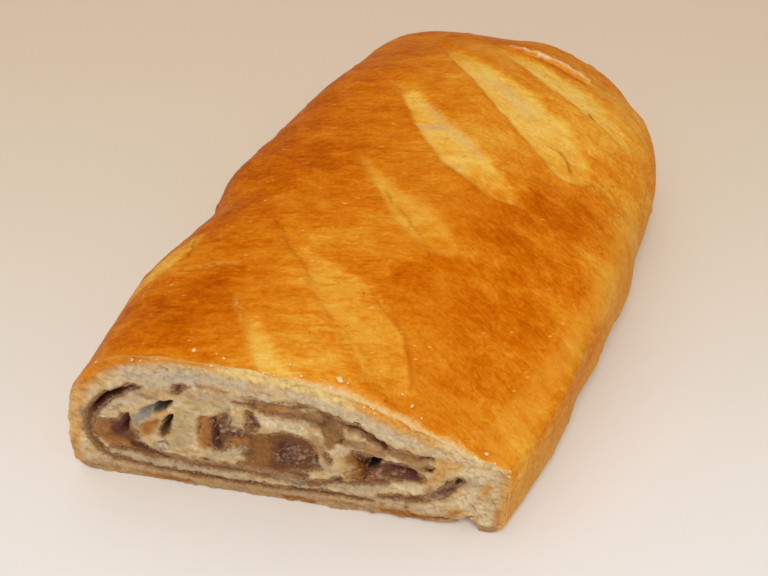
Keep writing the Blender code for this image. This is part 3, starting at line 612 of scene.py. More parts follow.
crustLook = {
    # start, end, then the near and far edges as (share of the run, near, far), depth, near and far softness
    "slashes": (
        ((-20, -75), (18, -112), (
            (0, 0.3, -0.3), (0.3, 2.6, -3.4), (0.6, 4.2, -5.8), (1.0, 5.0, -6.0),
        ), 0.5, 2.0, 4.0, 0.75),
        ((-26.7, -46.4), (28, -85), (
            (0, 0.2, -0.2), (0.28, 1.4, -4.5), (0.52, 4.2, -11.8), (0.76, 4.4, -11.0),
            (0.87, 3.6, -8.4), (0.97, 1.6, -4.6), (1, 0, -2.4),
        ), 0.5, 4.0, 1.6, 0.42),
        ((-23.7, -4.8), (23, -38), (
            (0, 0.6, -0.8), (0.28, 3.4, -0.6), (0.51, 6.2, -2.4), (0.72, 7.6, -4.2), (0.9, 5.2, -3.6),
            (1, 0.5, -1),
        ), 0.5, 2.2, 2.6, 0.46),
        ((-32.7, 40.2), (30, -9), (
            (0, 0.8, -0.6), (0.2, 4.2, -0.8), (0.4, 8.4, -2.0), (0.62, 10.6, -2.8), (0.8, 9.4, -2.8),
            (0.94, 6.4, -2.6), (1, 0.6, -0.6),
        ), 0.9, 1.0, 3.0, 0.82),
        ((-29.9, 71.7), (42, 12), (
            (0, 1.2, -2.6), (0.25, 4.6, -6.0), (0.5, 5.6, -9.4), (0.72, 6.8, -10.6), (0.9, 6.8, -8.6),
            (0.97, 4.4, -5.6), (1, 0.5, -1.5),
        ), 1.0, 1.1, 3.0, 1.0),
        ((-11, 76.5), (47, 42), (
            (0, 0.4, -1.0), (0.15, 1.4, -2.6), (0.3, 2.4, -5.6), (0.55, 4.0, -8.4), (0.8, 4.0, -7.4),
            (1, 0.3, -2),
        ), 0.55, 1.8, 2.4, 1.0),
    ),
    "lip": (
        (-7, 81.4, 0.2), (-2, 80.6, 0.6), (5, 79.8, 0.9), (12, 79.6, 1.0), (19, 78.4, 0.9),
        (25, 76.4, 0.4),
    ),
    "slit": (
        (-12, 80.0, 0.2), (-4, 78.6, 0.7), (8, 77.2, 0.8), (19, 75.6, 1.0), (25, 73.8, 1.0),
        (30, 72.6, 0.6), (37, 71.8, 0.3),
    ),
    # bake level: place, reach and amount of each patch; more is browner
    "bake": 0.50,
    "patches": (
        (-50, 0, 24, 75, 0.34), (-34, 52, 14, 26, 0.12), (34, -16, 20, 22, 0.34),
        (10, -52, 16, 12, 0.16), (-34, -84, 16, 22, 0.26), (-24, -14, 14, 14, 0.14),
        (-8, 24, 12, 10, 0.10), (30, 38, 26, 34, -0.16), (44, 78, 20, 18, -0.10),
        (2, -40, 10, 10, -0.04), (34, -70, 22, 18, 0.16), (0, 98, 30, 14, 0.14), (38, -44, 18, 8, 0.16),
        (48, 2, 9, 9, 0.16), (36, -18, 10, 7, -0.16), (6, -86, 14, 9, -0.17), (-8, -75, 8, 8, -0.02),
        (-16, 10, 6, 6, 0.05), (57, -40, 7, 60, -0.08), (8, 4, 8, 8, -0.14), (-4, -6, 14, 8, 0.08),
        (-20, 84, 18, 10, 0.08), (-43, -70, 7, 8, -0.26), (28, -36, 8, 6, -0.16),
        (-3, -47, 12, 6, -0.10), (-44, 14, 10, 14, -0.08), (30, -74, 10, 8, -0.13),
        (0, 20, 11, 7, -0.10), (50, -64, 10, 12, -0.03), (-34, -97, 10, 6, 0.13), (56, -28, 6, 8, 0.10),
        (-35, -44, 8, 6, 0.10), (-16, -37, 8, 6, 0.12), (42, 42, 8, 8, -0.08), (-2, 84, 8, 5, 0.06),
        (-19, -91, 8, 5, 0.12), (-15, -68, 8, 5, 0.10), (-28, -59, 8, 9, 0.06), (1, -60, 6, 5, 0.09),
        (12, 27, 6, 5, 0.09), (-16, 49, 8, 5, 0.09), (-19, -29, 9, 6, 0.09), (38, -45, 8, 6, 0.09),
        (53, -50, 5, 6, 0.08), (57, -74, 6, 8, -0.12), (57, 17, 6, 10, -0.12), (59, -12, 6, 10, -0.13),
        (-40, 42, 8, 12, -0.05), (-28, 62, 8, 6, -0.05), (-11, 73, 7, 5, -0.12), (11, 15, 6, 5, -0.10),
    ),
    # broad swellings: place, reach, height
    "swells": (
        (-54, -20, 14, 16, 1.6), (-50, 22, 14, 26, 0.7), (-50, -54, 12, 7, -0.8),
        (-45, 58, 14, 14, -1.0), (-38, 74, 14, 12, -1.1), (3, 92, 13, 14, 2.6), (32, 83, 10, 9, -2.2),
        (60, 10, 12, 14, 0.8), (62, -35, 12, 9, -1.1),
    ),
    # fine sunken lines: stroke, depth, how dark; the darkness is painted shade in the cracks and small holes,
    # partly the crust's browner colour there, and the single points are small dark specks
    "grooves": (
        ((
            (-27.8, -45.3, 0.1), (-23, -48.2, 0.2), (-18.4, -53.4, 0.2), (-12.6, -57.2, 0.3),
            (-8.2, -61.6, 0.2),
        ), 0.26, 0.28),
        ((
            (7.6, -58.2, 0.1), (13, -61.6, 0.2), (20.7, -65.9, 0.3), (25.8, -72.9, 0.3),
            (28.2, -78.1, 0.1),
        ), 0.40, 0.40),
        (((-8, -63.2, 0.1), (2.7, -71.2, 0.2), (13, -75.4, 0.2), (24.7, -84.1, 0.1)), 0.15, 0.16),
        (((-6.2, -20.0, 0.2), (-3.6, -22.6, 0.4), (-2.4, -24.6, 0.1)), 0.25, 0.45),
        (((0.6, -25.6, 0.1), (3.8, -28.4, 0.4), (7.4, -31.6, 0.2), (10.7, -33.9, 0.1)), 0.25, 0.40),
        (((-46.5, -57.5, 0.1), (-43.5, -62.5, 0.2), (-42.5, -66.1, 0.2)), 0.50, 0.8),
        ((
            (-42, -71.6, 0.1), (-37.5, -71.4, 0.3), (-33.9, -69.4, 0.3), (-30.3, -66.5, 0.2),
            (-24.9, -65.5, 0.1),
        ), 0.40, 0.5),
        ((
            (28.6, 23.2, 0.1), (30.7, 23.6, 0.3), (33.2, 21.8, 0.4), (35.2, 19.7, 0.3),
            (36.9, 16.6, 0.1),
        ), 0.80, 0.7),
        (((32.4, 49.2, 0.3), (34.2, 47.2, 0.6)), 0.40, 1.0),
        (((-0.8, 11.3, 0.15),), 0.10, 1.0),
        (((7.8, 4.8, 0.15),), 0.10, 1.0),
        (((29.0, 52.4, 0.2),), 0.10, 0.9),
        (((21.6, 70.2, 0.2), (25.0, 69.4, 0.5)), 0.50, 0.8),
    ),
    # dry pale strokes: stroke, amount
    "dry": (
        (((-8, -64.4, 0.8), (-3, -65.0, 1.4), (3, -61.5, 1.4)), 0.55),
        (((1.1, -69.1, 0.4), (5.9, -69.3, 0.8), (10.3, -69.8, 0.8), (15.1, -71.3, 0.4)), 0.8),
        (((-20, -8.4, 0.2), (-16.0, -11.8, 0.8), (-10.1, -17.0, 1.4), (-5.0, -20.6, 1.2)), 0.7),
        (((-1.0, -22.0, 0.8), (4.7, -22.4, 1.6), (10.6, -25.2, 1.4), (16.0, -29.6, 0.8)), 0.6),
        (((-2.4, -26.2, 0.6), (5.0, -33.2, 1.0), (12.1, -37.4, 0.6)), 0.5),
        (((-28.3, 33.3, 0.5), (-23.4, 28.3, 0.9), (-18.2, 24.1, 1.1), (-12.9, 20.5, 0.8)), 0.7),
        (((-44, -72, 0.6), (-40.5, -72.4, 1.0), (-34, -68.2, 0.8), (-28, -65, 0.4)), 0.6),
        ((
            (-21.6, -75.6, 0.2), (-18.5, -79.2, 0.5), (-13.4, -83.2, 1.2), (-9, -86.9, 1.6),
            (-4.2, -92.4, 2.0),
        ), 0.75),
        (((-14, 50, 1.0), (-2, 44, 1.8), (8, 36, 1.4)), 0.5),
        (((50, -78, 3.0), (53, -60, 3.0), (57, -40, 1.8), (59, -12, 2.4), (57, 20, 2.4)), 0.50),
    ),
    # greyish marks: stroke, amount
    "grey": (
        (((-10.4, 13.6, 0.4), (-7.1, 15.0, 0.8), (-3.4, 16.2, 0.4)), 0.80),
        ((
            (-13.6, 25.0, 0.4), (-6.1, 19.2, 0.8), (1.6, 14.0, 1.0), (7.6, 9.6, 0.8), (12.1, 5.7, 0.3),
        ), 0.34),
        (((6.4, -2.2, 0.6), (9.0, -1.6, 0.8)), 0.30),
        (((-4, 51, 0.8), (5, 47, 1.6), (13, 39, 1.4), (19, 33, 0.8)), 0.30),
    ),
    # lighter and browner strokes: stroke, amount
    "tones": (
        ((
            (-54, -82, 1.2), (-50.5, -73, 2.4), (-47.8, -66, 2.8), (-46.5, -61, 2.6), (-45.6, -56, 1.2),
        ), -0.34),
        (((-37.6, -83.4, 2.0), (-31.7, -76.1, 2.6), (-25.2, -67.3, 1.2)), 0.08),
        (((12, -49.9, 1.2), (19, -40.2, 2.2), (26.6, -38, 2.2), (38.8, -32.5, 1.2)), 0.14),
        (((6.3, 75.6, 0.8), (15.4, 72.0, 1.3), (23, 70.6, 0.8)), 0.22),
        (((14.0, -4.0, 0.8), (19.8, -7.4, 1.6), (24.0, -7.5, 1.0)), 0.12),
    ),
}

def slashFields(x, y):
    # how far each point of the crust lies in a slash, how deep it is and how far the rim stands up
    floor = np.zeros_like(x)
    depth = np.zeros_like(x)
    lipUp = np.zeros_like(x)
    for start, end, edges, deep, nearSoft, farSoft, paleness in crustLook["slashes"]:
        way = np.array(end, float) - np.array(start, float)
        length = np.hypot(*way)
        way = way / length
        run = ((x - start[0]) * way[0] + (y - start[1]) * way[1]) / length
        aside = -((x - start[0]) * way[1] - (y - start[1]) * way[0])
        places, nearEdge, farEdge = zip(*edges)
        near = np.interp(run, places, nearEdge)
        far = np.interp(run, places, farEdge)
        ends = ease(run, -0.01, 0.05) * (1.0 - ease(run, 0.96, 1.01))
        fade = ease(run, 0.02, 0.32) * (1.0 - 0.4 * ease(run, 0.70, 0.95))
        here = ease(near + aside, -0.3 * nearSoft, 0.7 * nearSoft)
        here = here * ease(-far - aside, -0.3 * farSoft, 0.7 * farSoft) * ends
        floor = np.maximum(floor, here * paleness * fade)
        depth = np.maximum(depth, deep * here)
        crest = np.exp(-(((near + aside + 1.6) / 1.6) ** 2)) * ends
        lipUp = np.maximum(lipUp, 0.35 * deep * crest)
    return floor, depth, lipUp


# ---- materials

class Finish:
    # a material and short ways to add its nodes
    def __init__(self, name):
        self.material = bpy.data.materials.new(name)
        self.material.use_nodes = True
        self.tree = self.material.node_tree
        self.shader = self.tree.nodes["Principled BSDF"]
        self.place = self.tree.nodes.new("ShaderNodeTexCoord").outputs["Object"]

    def add(self, kind, **values):
        node = self.tree.nodes.new(kind)
        for name, value in values.items():
            setattr(node, name, value)
        return node

    def join(self, source, target):
        if isinstance(source, (int, float, tuple)):
            target.default_value = source
        else:
            self.tree.links.new(source, target)

    def attribute(self, name):
        return self.add("ShaderNodeAttribute", attribute_name=name).outputs["Fac"]

    def ragged(self, name, rag):
        # the attribute with a broken, crumbly edge
        broken = self.times(self.attribute(name), self.spread(rag, 0.38, 0.62, 0.2, 1.8))
        return self.spread(broken, 0.30, 0.70)

    def stretched(self, turn, scale):
        node = self.add("ShaderNodeMapping", vector_type="TEXTURE")
        self.join(self.place, node.inputs["Vector"])
        node.inputs["Rotation"].default_value = turn
        node.inputs["Scale"].default_value = scale
        return node.outputs["Vector"]

    def noise(self, size, detail=3.0, rough=0.55, place=None, swirl=0.0):
        node = self.add("ShaderNodeTexNoise")
        self.join(place or self.place, node.inputs["Vector"])
        node.inputs["Scale"].default_value = 1.0 / size
        node.inputs["Detail"].default_value = detail
        node.inputs["Roughness"].default_value = rough
        node.inputs["Distortion"].default_value = swirl
        return node.outputs["Fac"]

    def cells(self, size, place=None):
        node = self.add("ShaderNodeTexVoronoi", feature="F1")
        self.join(place or self.place, node.inputs["Vector"])
        node.inputs["Scale"].default_value = 1.0 / size
        return node

    def spots(self, cells, near, far, share):
        # round spots in this share of the cells
        tone = self.add("ShaderNodeSeparateColor")
        self.join(cells.outputs["Color"], tone.inputs[0])
        kept = self.spread(tone.outputs[0], share, share - 0.02)
        return self.times(self.spread(cells.outputs["Distance"], near, far, 1.0, 0.0), kept)

    def sum(self, operation, first, second, clamp=False):
        node = self.add("ShaderNodeMath", operation=operation, use_clamp=clamp)
        self.join(first, node.inputs[0])
        self.join(second, node.inputs[1])
        return node.outputs[0]

    def plus(self, first, second):
        return self.sum("ADD", first, second)

    def times(self, first, second):
        return self.sum("MULTIPLY", first, second)

    def spread(self, value, low, high, toLow=0.0, toHigh=1.0):
        node = self.add("ShaderNodeMapRange")
        self.join(value, node.inputs["Value"])
        for name, number in (("From Min", low), ("From Max", high), ("To Min", toLow), ("To Max", toHigh)):
            node.inputs[name].default_value = number
        return node.outputs["Result"]

    def ramp(self, value, stops):
        node = self.add("ShaderNodeValToRGB")
        self.join(value, node.inputs["Fac"])
        marks = node.color_ramp.elements
        while len(marks) < len(stops):
            marks.new(0.5)
        for mark, (position, colour) in zip(marks, stops):
            mark.position = position
            mark.color = linear(*colour)
        return node.outputs["Color"]

    def mix(self, share, first, second):
        node = self.add("ShaderNodeMix", data_type="RGBA", blend_type="MIX")
        self.join(share, node.inputs[0])
        self.join(first, node.inputs[6])
        self.join(second, node.inputs[7])
        return node.outputs[2]

    def pair(self, share, first, second):
        return self.mix(share, linear(*first), linear(*second))

    def paint(self, under, share, colour):
        # lays a colour over what is there
        return self.mix(share, under, linear(*colour))

    def blend(self, share, first, second):
        node = self.add("ShaderNodeMix", data_type="FLOAT")
        self.join(share, node.inputs[0])
        self.join(first, node.inputs[2])
        self.join(second, node.inputs[3])
        return node.outputs[0]

    def bump(self, height, distance, strength):
        node = self.add("ShaderNodeBump")
        node.inputs["Strength"].default_value = strength
        node.inputs["Distance"].default_value = distance
        self.join(height, node.inputs["Height"])
        return node.outputs["Normal"]


def cutColour(f, fluff, low, high):
    # the painted colour of the cut, its brightness following the fine bump relief: darker and browner in the
    # low spots and lighter on the high ones, which is painted shade and light, mixed with random tone from a
    # second noise
    painted = f.add("ShaderNodeAttribute", attribute_name="tone")
    rough = painted.outputs["Alpha"]
    grain = f.noise(0.0032, 3.0, 0.6)
    level = f.plus(f.times(fluff, 0.6), f.times(grain, 0.4))
    # painted shade and light: the colour scaled by the relief's level
    lit = f.add("ShaderNodeVectorMath", operation="SCALE")
    f.join(painted.outputs["Color"], lit.inputs[0])
    f.join(f.blend(rough, 1.0, f.spread(level, 0.38, 0.62, low, high)), lit.inputs["Scale"])
    # painted shade: browner in the relief's low spots
    lowShade = f.times(f.spread(level, 0.38, 0.48, 0.24, 0.0), rough)
    return f.paint(lit.outputs[0], lowShade, cutLook["reliefShadeTone"]), rough


doughFinish = {
    "ramp": (    # crust from pale to well baked
        (0.00, (240, 196, 98)), (0.25, (232, 166, 56)), (0.50, (220, 132, 25)), (0.75, (202, 102, 3)),
        (1.00, (168, 74, 0)),
    ),
    "pulled": (0.76, 0.06, 0.46),   # the way the dough was stretched, at the left and at the right
    "drawn": (0.76, 0.10, -0.42),
    "dry": (234, 180, 74),
    "grey": (200, 170, 128),
    "side": (230, 172, 92),         # unglazed crust low on the sides
    "brownSide": (204, 140, 62),
    "flour": (242, 226, 196),
    "brownFlour": (232, 192, 126),
    "base": (168, 120, 70),
    "darkBase": (120, 76, 38),
    # painted glints: tiny pale spots standing in for sparkle on the glaze
    "glint": (252, 202, 112),
    "speck": (132, 62, 10),
    # painted shade for the sunken lines, partly the crust's own browner colour there
    "groove": (140, 64, 6),
    "fringe": ((0.30, (226, 148, 48)), (0.60, (232, 176, 96)), (0.85, (230, 198, 146))),
    "crumbHues": ((0.34, (228, 176, 104)), (0.50, (222, 196, 152)), (0.66, (212, 180, 162))),
    "soak": (136, 90, 52),
    "pore": (134, 92, 54),
    "glazeTint": (1.0, 0.62, 0.22, 1.0),
    "scatter": (0.003, 0.0015, 0.0006),
}


def crustColour(f, streaks, freckles):
    look = doughFinish
    lay = f.attribute("lay")
    broad = f.stretched(look["pulled"], (2.6, 1.0, 1.8))
    across = f.stretched(look["drawn"], (2.6, 1.0, 1.8))
    bands = f.blend(lay, f.noise(0.0042, 3.0, 0.55, broad, 0.8), f.noise(0.0042, 3.0, 0.55, across, 0.8))
    blotches = f.noise(0.008, 3.0, 0.5)
    level = f.plus(f.attribute("bake"), f.spread(streaks, 0.3, 0.7, -0.13, 0.13))
    level = f.plus(level, f.spread(bands, 0.3, 0.7, -0.11, 0.11))
    level = f.plus(level, f.spread(blotches, 0.3, 0.7, -0.06, 0.06))
    level = f.sum("ADD", level, f.spread(freckles, 0.3, 0.75, -0.10, 0.13), True)
    crust = f.ramp(level, look["ramp"])
    dusty = f.times(f.spread(freckles, 0.42, 0.58), f.spread(streaks, 0.40, 0.56, 0.25, 0.75))
    crust = f.paint(crust, f.times(f.attribute("dry"), dusty), look["dry"])
    greyed = f.times(f.attribute("grey"), f.spread(freckles, 0.35, 0.6, 0.5, 0.9))
    crust = f.paint(crust, greyed, look["grey"])
    side = f.pair(f.spread(freckles, 0.35, 0.65), look["side"], look["brownSide"])
    crust = f.mix(f.attribute("side"), crust, side)
    flour = f.pair(f.spread(freckles, 0.4, 0.6), look["flour"], look["brownFlour"])
    crust = f.mix(f.attribute("flour"), crust, flour)
    crust = f.mix(f.attribute("under"), crust, f.pair(freckles, look["base"], look["darkBase"]))
    # painted glints: pale spots in a tenth of small stretched cells, standing in for sparkle on the glaze
    glints = f.spots(f.cells(0.0014, broad), 0.05, 0.22, 0.10)
    crust = f.paint(crust, f.times(glints, 0.6), look["glint"])
    specks = f.spots(f.cells(0.0060), 0.03, 0.09, 0.20)
    crust = f.paint(crust, f.times(specks, 0.6), look["speck"])
    # the sunken lines darkened: painted shade in the cracks and holes, partly browner crust
    crust = f.paint(crust, f.times(f.attribute("dark"), 0.75), look["groove"])
    worn = f.plus(f.attribute("torn"), f.spread(freckles, 0.3, 0.7, -0.22, 0.22))
    return f.mix(f.spread(worn, 0.12, 0.50), crust, f.ramp(worn, look["fringe"]))


def crumbColour(f, fluff, foam):
    look = doughFinish
    # its brightness follows the fluff that the bump also uses: painted shade and light
    crumb, rough = cutColour(f, fluff, 0.78, 1.20)
    hue = f.ramp(f.noise(0.0026, 3.0, 0.6), look["crumbHues"])
    crumb = f.mix(f.times(f.spread(rough, 0.75, 1.0), 0.26), crumb, hue)
    crumb = f.paint(crumb, f.times(f.ragged("soak", fluff), 0.6), look["soak"])
    # painted shade: darker spots at the low middles of some foam cells, standing in for shade in the crumb's
    # pores
    pores = f.times(f.spots(foam, 0.08, 0.30, 0.08), f.times(rough, 0.5))
    return f.paint(crumb, pores, look["pore"]), rough


def doughMaterial():
    look = doughFinish
    f = Finish("bakedDough")
    pulled = f.noise(0.0011, 4.0, 0.58, f.stretched(look["pulled"], (4.4, 1.0, 2.0)), 1.0)
    drawn = f.noise(0.0012, 4.0, 0.56, f.stretched(look["drawn"], (3.6, 1.0, 2.0)), 1.2)
    streaks = f.blend(f.attribute("lay"), pulled, drawn)
    freckles = f.noise(0.0012, 4.0, 0.68)
    crust = crustColour(f, streaks, freckles)

    fluff = f.noise(0.0011, 4.0, 0.62, f.stretched((0, 0, 0.25), (1.0, 1.0, 1.5)))
    foam = f.cells(0.0013)
    crumb, rough = crumbColour(f, fluff, foam)
    inside = f.attribute("crumb")
    f.join(f.mix(inside, crust, crumb), f.shader.inputs["Base Color"])

    gloss = f.spread(streaks, 0.3, 0.7, 0.32, 0.46)
    gloss = f.blend(f.attribute("pale"), gloss, 0.52)
    gloss = f.blend(f.attribute("side"), gloss, 0.65)
    f.join(f.blend(inside, gloss, 0.90), f.shader.inputs["Roughness"])
    f.shader.inputs["Specular IOR Level"].default_value = 0.015
    f.shader.inputs["Specular Tint"].default_value = look["glazeTint"]
    f.shader.inputs["Subsurface Weight"].default_value = 0.05
    f.shader.inputs["Subsurface Radius"].default_value = look["scatter"]
    f.shader.inputs["Subsurface Scale"].default_value = 1.0

    skin = f.plus(f.times(streaks, 0.35), f.times(freckles, 0.30))
    spongy = f.plus(f.times(fluff, 1.2), f.times(foam.outputs["Distance"], 0.15))
    spongy = f.times(spongy, f.spread(rough, 0.0, 1.0, 0.3, 1.0))
    f.join(f.bump(f.blend(inside, skin, spongy), 0.0006, 0.9), f.shader.inputs["Normal"])
    return f.material


fillingFinish = {
    "nut": (188, 146, 116),
    "skin": (84, 48, 40),
    "border": (188, 152, 108),
    "bit": (206, 162, 114),
    "sheenTint": (1.0, 0.86, 0.72, 1.0),
}


def fillingMaterial():
    look = fillingFinish
    f = Finish("nutFilling")
    lumps = f.noise(0.0014, 4.0, 0.65)
    grit = f.noise(0.0006, 3.0, 0.65)
    # its brightness follows the lumps that the bump also uses: painted shade and light
    paste, rough = cutColour(f, lumps, 0.66, 1.36)
    bitTone = f.add("ShaderNodeSeparateColor")
    f.join(f.cells(0.0009).outputs["Color"], bitTone.inputs[0])
    chopped = f.pair(f.spread(bitTone.outputs[0], 0.35, 0.75), look["skin"], look["nut"])
    chopped = f.mix(f.spread(bitTone.outputs[1], 0.3, 0.6), paste, chopped)
    paste = f.mix(f.times(f.ragged("nutty", grit), 0.6), paste, chopped)
    paste = f.paint(paste, f.times(f.ragged("border", grit), 0.7), look["border"])
    pale = f.times(f.spots(f.cells(0.0015), 0.1, 0.3, 0.12), f.times(rough, 0.7))
    f.join(f.paint(paste, pale, look["bit"]), f.shader.inputs["Base Color"])
    f.join(f.spread(grit, 0.35, 0.65, 0.26, 0.60), f.shader.inputs["Roughness"])
    f.shader.inputs["Specular IOR Level"].default_value = 0.22
    f.shader.inputs["Specular Tint"].default_value = look["sheenTint"]
    height = f.times(f.plus(grit, f.times(lumps, 1.6)), f.spread(rough, 0.0, 1.0, 0.3, 1.0))
    f.join(f.bump(height, 0.0006, 0.9), f.shader.inputs["Normal"])
    return f.material


bitsFinish = {
    "crumb": ((236, 180, 96), (250, 222, 166)),
    "nut": ((0.30, (70, 38, 28)), (0.45, (120, 76, 48)), (0.62, (178, 132, 92)), (0.75, (206, 172, 140))),
}


def crumbsMaterial():
    f = Finish("looseCrumbs")
    tone = f.noise(0.0016, 2.0)
    f.join(f.pair(f.spread(tone, 0.35, 0.65), *bitsFinish["crumb"]), f.shader.inputs["Base Color"])
    f.join(f.spread(tone, 0.3, 0.7, 0.6, 0.85), f.shader.inputs["Roughness"])
    f.join(f.bump(f.noise(0.0005, 3.0), 0.0002, 0.8), f.shader.inputs["Normal"])
    return f.material


def nutMaterial():
    f = Finish("choppedNuts")
    tone = f.noise(0.0014, 3.0)
    f.join(f.ramp(tone, bitsFinish["nut"]), f.shader.inputs["Base Color"])
    f.join(f.spread(tone, 0.3, 0.7, 0.35, 0.55), f.shader.inputs["Roughness"])
    f.join(f.bump(f.noise(0.0006, 3.0), 0.0002, 0.7), f.shader.inputs["Normal"])
    return f.material


# ---- the baked dough

doughPiece = {
    "acrossCells": 32,
    "upCells": 15,
    "alongCells": 50,
    "roundFrom": 0.76,      # share of the length where the far end starts to round
    "tip": 0.99985,
    "seamCells": (0.70, 0.97),      # across the base, where the seam runs
    "edgeRag": 0.6,
    "fineWithin": 1.5,      # mm either side of a line on the crust
    "lifts": (    # of the lower edge: mm, where it starts and where it ends
        (1.0, (74.0, 84.0), (108.4, 109.6)), (1.6, (98.0, 104.4), (107.4, 109.2)),
    ),
    "push": 1.1,            # of the left edge, mm
    "pores": 700,
    "poreReach": 3,         # mm
    "slotGap": 0.3,         # mm
    "sharpFrom": 62,        # degrees
}
nearSide = 0.999            # of the block, whose sides lie at 1
flush = 1e-5


def splitAlong(bm, axis, cuts):
    picked = [edge for edge in bm.edges if abs((edge.verts[0].co - edge.verts[1].co)[axis]) > 1e-6]
    bmesh.ops.subdivide_edges(bm, edges=picked, cuts=cuts, use_grid_fill=True)


def refine(bm, wanted):
    picked = {edge for face in bm.faces if wanted(face.calc_center_median()) for edge in face.edges}
    bmesh.ops.subdivide_edges(bm, edges=list(picked), cuts=1, use_grid_fill=True)


def readCoords(mesh):
    values = np.empty(len(mesh.vertices) * 3, np.float32)
    mesh.vertices.foreach_get("co", values)
    return values.reshape(-1, 3).astype(float)


def writeCoords(mesh, points):
    mesh.vertices.foreach_set("co", points.astype(np.float32).ravel())
    mesh.update()


def readNormals(mesh):
    values = np.empty(len(mesh.vertices) * 3, np.float32)
    mesh.vertices.foreach_get("normal", values)
    return values.reshape(-1, 3).astype(float)


def writeAttribute(mesh, name, values):
    layer = mesh.attributes.new(name, "FLOAT", "POINT")
    layer.data.foreach_set("value", np.clip(values, 0.0, 1.0).astype(np.float32))


def writeTone(mesh, tone):
    layer = mesh.attributes.new("tone", "FLOAT_COLOR", "POINT")
    layer.data.foreach_set("color", tone.astype(np.float32).ravel())


def addObject(name, data):
    made = bpy.data.objects.new(name, data)
    bpy.context.collection.objects.link(made)
    return made


def addPiece(name, mesh, material, sharpFrom=None):
    mesh.materials.append(material)
    mesh.shade_smooth()
    if sharpFrom:
        mesh.set_sharp_from_angle(angle=math.radians(sharpFrom))
    return addObject(name, mesh)


def shareAlong(w):
    straight = doughPiece["roundFrom"]
    bend = np.clip((w - straight) / (1.0 - straight), 0.0, 1.0)
    return np.where(w < straight, w, straight + (doughPiece["tip"] - straight) * np.sin(bend * math.pi / 2))


def refineMarks(bm):
    # smaller faces where the crust has fine lines
    middles = [(face, face.calc_center_median()) for face in bm.faces]
    onTop = [(face, at) for face, at in middles if at.z > nearSide and at.y > -nearSide]
    places = loafPlaces(np.array([at for face, at in onTop]))[0] / mm
    lines = [groove[0] for groove in crustLook["grooves"]] + [crustLook["lip"]]
    gaps = nearest(places[:, 0], places[:, 1], lines)
    fine = [face for (face, at), gap in zip(onTop, gaps) if gap < doughPiece["fineWithin"]]
    picked = {edge for face in fine for edge in face.edges}
    bmesh.ops.subdivide_edges(bm, edges=list(picked), cuts=1, use_grid_fill=True)


def doughBlock():
    # a block of cells with finer ones on the crust, at the cut and along the seam below
    rows = doughPiece["alongCells"]
    firstRow = -1.0 + 2.0 / rows
    seamFrom, seamTo = doughPiece["seamCells"]

    def detailed(at):
        onBase = at.z < -nearSide
        nearSeam = onBase and seamFrom < at.x < seamTo and at.y < 0.0
        return nearSeam or (not onBase and at.y <= nearSide)

    def byTheCut(at):
        return at.y < firstRow - 0.001 and (at.z >= -nearSide or at.y < firstRow - 0.5 / rows)

    bm = bmesh.new()
    bmesh.ops.create_cube(bm, size=2.0)
    splitAlong(bm, 0, doughPiece["acrossCells"] - 1)
    splitAlong(bm, 2, doughPiece["upCells"] - 1)
    splitAlong(bm, 1, rows - 1)
    refine(bm, detailed)
    refine(bm, detailed)
    refine(bm, byTheCut)
    refineMarks(bm)
    mesh = bpy.data.meshes.new("bakedLoaf")
    bm.to_mesh(mesh)
    bm.free()
    return mesh


def loafPlaces(block):
    # where the block's points lie on the loaf, their share of the length and their way round
    u, v = block[:, 0], block[:, 2]
    share = shareAlong((block[:, 1] + 1.0) / 2.0)
    way = np.full(len(block), -1.0)
    way = np.where(v < -1 + flush, 3 + (1 - u) / 2, way)
    way = np.where(u > 1 - flush, 2 + (1 - v) / 2, way)
    way = np.where(v > 1 - flush, 1 + (u + 1) / 2, way)
    way = np.where(u < -1 + flush, (v + 1) / 2, way)
    places = np.empty((len(block), 3))
    steps = np.round(share, 7)
    for step in np.unique(steps):
        ring = (steps == step) & (way >= 0)
        places[ring] = Station(float(step)).ringPoints(way[ring])
    front = (block[:, 1] < -1 + flush) & (way < 0)
    back = (block[:, 1] > 1 - flush) & (way < 0)
    places[front] = Station(0.0).insidePoints(u[front], v[front])
    places[back] = Station(doughPiece["tip"]).insidePoints(u[back], v[back])
    return places, share, way


